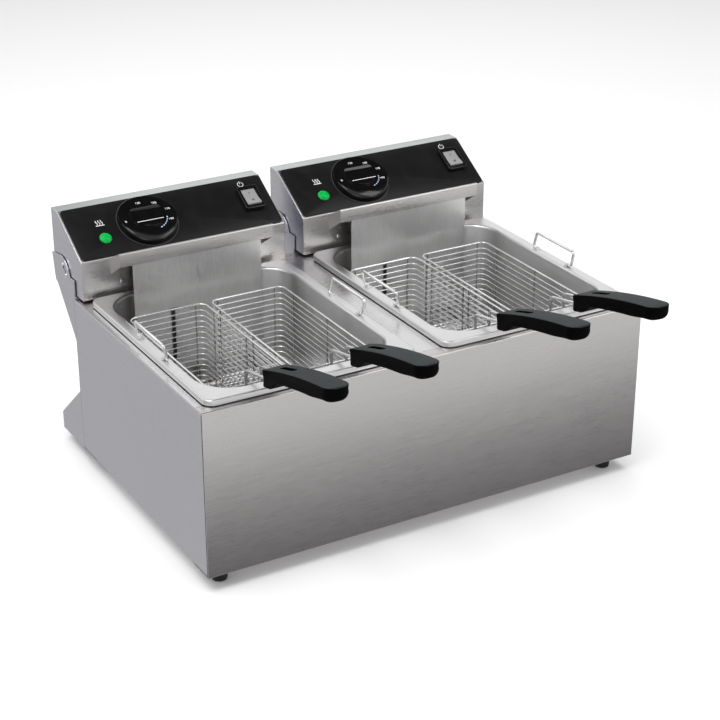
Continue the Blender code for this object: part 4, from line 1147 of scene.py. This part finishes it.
def make_switch(name, side):
    """Bezel with its well, and the rocker resting to one side in it with its two marks."""
    at = on_panel(side, *SWITCH_AT)
    mesh = prism(rounded_rectangle(0.014, -0.0185, 0.0185, 0.004, 8), 0.0023, 0.009, flat)
    obj = show("bezel_" + name, softened(mesh, 0.0009, 3, 60), SWITCH_BLACK, "head_" + name,
               "switch_frame_" + name)
    carve(obj, box((-0.0115, -0.015, -0.012), (0.0115, 0.015, 0.0033)), 'UNION')
    carve(obj, prism(rounded_rectangle(0.0104, -0.0138, 0.0138, 0.0012, 4), -0.006, 0.02, flat))
    obj.data.transform(at)
    rise = ROCKER_RADIUS * sin(radians(14))
    ends = [radians(-35 + 49 * k / 7) for k in range(8)]
    right = [polar(ROCKER_RADIUS, a) for a in ends]
    outline = right + [(0.006, rise - 0.0009), (0, rise - 0.0012), (-0.006, rise - 0.0009)]
    outline += [(-u, v) for u, v in right[::-1]]
    key = softened(prism(outline, -0.0099, 0.0099, side_on), 0.0009, 3, 40)
    tilt = at @ moved(0, 0, 0.006) @ Matrix.Rotation(-ROCKER_TILT, 4, 'X')
    body = "rocker_" + name
    show("rocker_key_" + name, key, ROCKER_GREY, body, body, matrix=tilt)
    stroke = bar(0, 0.0052, 0, 0.008, 0.0006, rise - 0.0006, rise - 0.00015)
    loop = flat_ring(0.001, 0.0016, rise - 0.0008, rise - 0.00015, segments=24)
    loop.transform(moved(0, -0.0066, 0))
    show("rocker_marks_" + name, merged("marks", [stroke, loop]), INK_GREY_AND_PAINTED_HIGHLIGHT, body, slot="rocker_grey",
         matrix=tilt)


def make_hood(name, side):
    """Folded steam hood with a gusset at each end."""
    centre = side * TANK_X + 0.0025
    wall, lip = back(HEAD_FACE) - 0.0004, back(HOOD_LIP)
    low, high = HOOD_LIP_Z
    top = PANEL_LOW_Z - 0.001
    outline = bent_sheet([(wall, top), (lip, high), (lip, low)], SHEET, FOLD)
    parts = [prism(outline, centre - HOOD_HALF, centre + HOOD_HALF, side_on)]
    gusset = [(wall, 0.2615), (wall, top - 0.0014), (lip + SHEET, high - 0.0021), (lip + SHEET, low)]
    for way in (-1, 1):
        ends = sorted((centre + way * HOOD_HALF, centre + way * (HOOD_HALF - SHEET)))
        parts.append(prism(gusset, *ends, side_on))
    show("steam_hood_" + name, merged("hood", parts), STEEL_X, "head_" + name, "hood_" + name)


def make_element(name, side):
    """Bent element tube, and the thermostat's bulb on its own tube."""
    node, bulb_node = "heating_element_" + name, "thermostat_bulb_" + name
    lo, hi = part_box(node)
    r, riser = ELEMENT_WIRE, back(0.3224)
    low, high = lo.z + r, hi.z - r
    front, turn = lo.y + r, back(0.3)
    a, b = ELEMENT_RODS
    leg = [(a, hi.y, high), (a, riser, high), (a, riser, low), (a, front, low), (b, front, low),
           (b, turn, low)]
    corners = leg + [(-x, y, z) for x, y, z in leg[::-1]]
    lo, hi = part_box(bulb_node)
    low = lo.z + BULB_WIRE
    bulb = [(0, hi.y, high), (0, riser, high), (0, riser, low), (0, back(0.18), low)]
    for piece, kept, points, radius, sides in (("tube_" + node, node, corners, r, 14),
                                               ("probe_" + name, bulb_node, bulb, BULB_WIRE, 12)):
        mesh = tube(rounded_path(points, ROD_BEND, 7), radius, sides)
        show(piece, mesh, ELEMENT, "head_" + name, kept, matrix=moved(side * TANK_X, 0, 0))


def make_rear(name, side):
    """Back cover with its gland, reset button and fixing screws, and the two screws of the front face."""
    body, cover = "head_" + name, "head_back_cover_" + name
    ease_edges(dress(cover, STEEL_X), 0.0003, 1)
    lo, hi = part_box(cover)
    face = SHEET + 0.0004
    gland = [(0.0048, face + 0.0062), (0.0054, face + 0.007), (0.0068, face + 0.007),
             (0.0076, face + 0.0064), (0.01, face + 0.0034), (0.0112, face + 0.0012), (0.0115, face),
             (0.0075, face), (0.0075, -0.01), (0.0048, -0.01)]
    button = [(0, 0.0062), (0.0026, 0.0061), (0.0036, 0.0055), (0.004, 0.0046), (0.004, -0.012),
              (0, -0.012)]
    gland_at, button_at = (moved(side * TANK_X + x, lo.y, REAR_PARTS_Z) @ Matrix.Rotation(-pi / 2, 4, 'X')
                           for x in (REAR_PARTS_X, -REAR_PARTS_X))
    show("gland_" + name, turned(gland, 40), SWITCH_BLACK, body, "cord_gland_" + name, matrix=gland_at)
    reset = "reset_button_" + name
    show("button_" + name, turned(button, 32), RESET_RED, reset, reset, matrix=button_at)
    corners = [(x, z) for x in (lo.x + 0.008, hi.x - 0.008) for z in (lo.z + 0.01, hi.z - 0.01)]
    for k, (x, z) in enumerate(corners):
        screw(f"cover_screw_{name}_{k}", (x, hi.y, z), (0, 1, 0), body, 0.0028, 0.4 * k)
    for k, x in enumerate(FACE_SCREWS):
        place = (side * TANK_X + x, back(HEAD_FACE), 0.25)
        screw(f"face_screw_{name}_{k}", place, (0, -1, 0), body, 0.003, 0.5 + k)


def make_ear_pins(name, side):
    """Studs in the crescent slots of the cradle, beside the head's ends."""
    pin = [(0, 0), (0.0017, 0), (0.0017, 0.0014), (0.003, 0.0016), (0.003, 0.0025), (0.0024, 0.0029),
           (0, 0.003)]
    for way_name, way in SIDES:
        x = side * TANK_X + way * (HEAD_HALF + SHEET)
        for k, (distance, z) in enumerate(EAR_PINS):
            at = moved(x, back(distance), z) @ Matrix.Rotation(way * pi / 2, 4, 'Y')
            show(f"ear_pin_{name}_{way_name}_{k}", turned(pin, 24), BRIGHT, "cabinet", slot="brushed_steel",
                 matrix=at)


def make_head(name, side):
    for make in (make_housing, make_panel, make_icons, make_knob, make_lamp, make_switch, make_hood,
                 make_element, make_rear, make_ear_pins):
        make(name, side)
    ease_edges(dress("guard_plate_" + name, STEEL_Z), 0.0002, 1)
    dress("thermostat_" + name, ELEMENT)


make_lights_and_camera()
make_world()
make_stage()
make_cabinet()
for side_name, side_way in SIDES:
    make_tank(side_name, side_way)
    make_head(side_name, side_way)
    for basket_side, _ in SIDES:
        make_basket(side_name, basket_side)

bpy.context.view_layer.update()
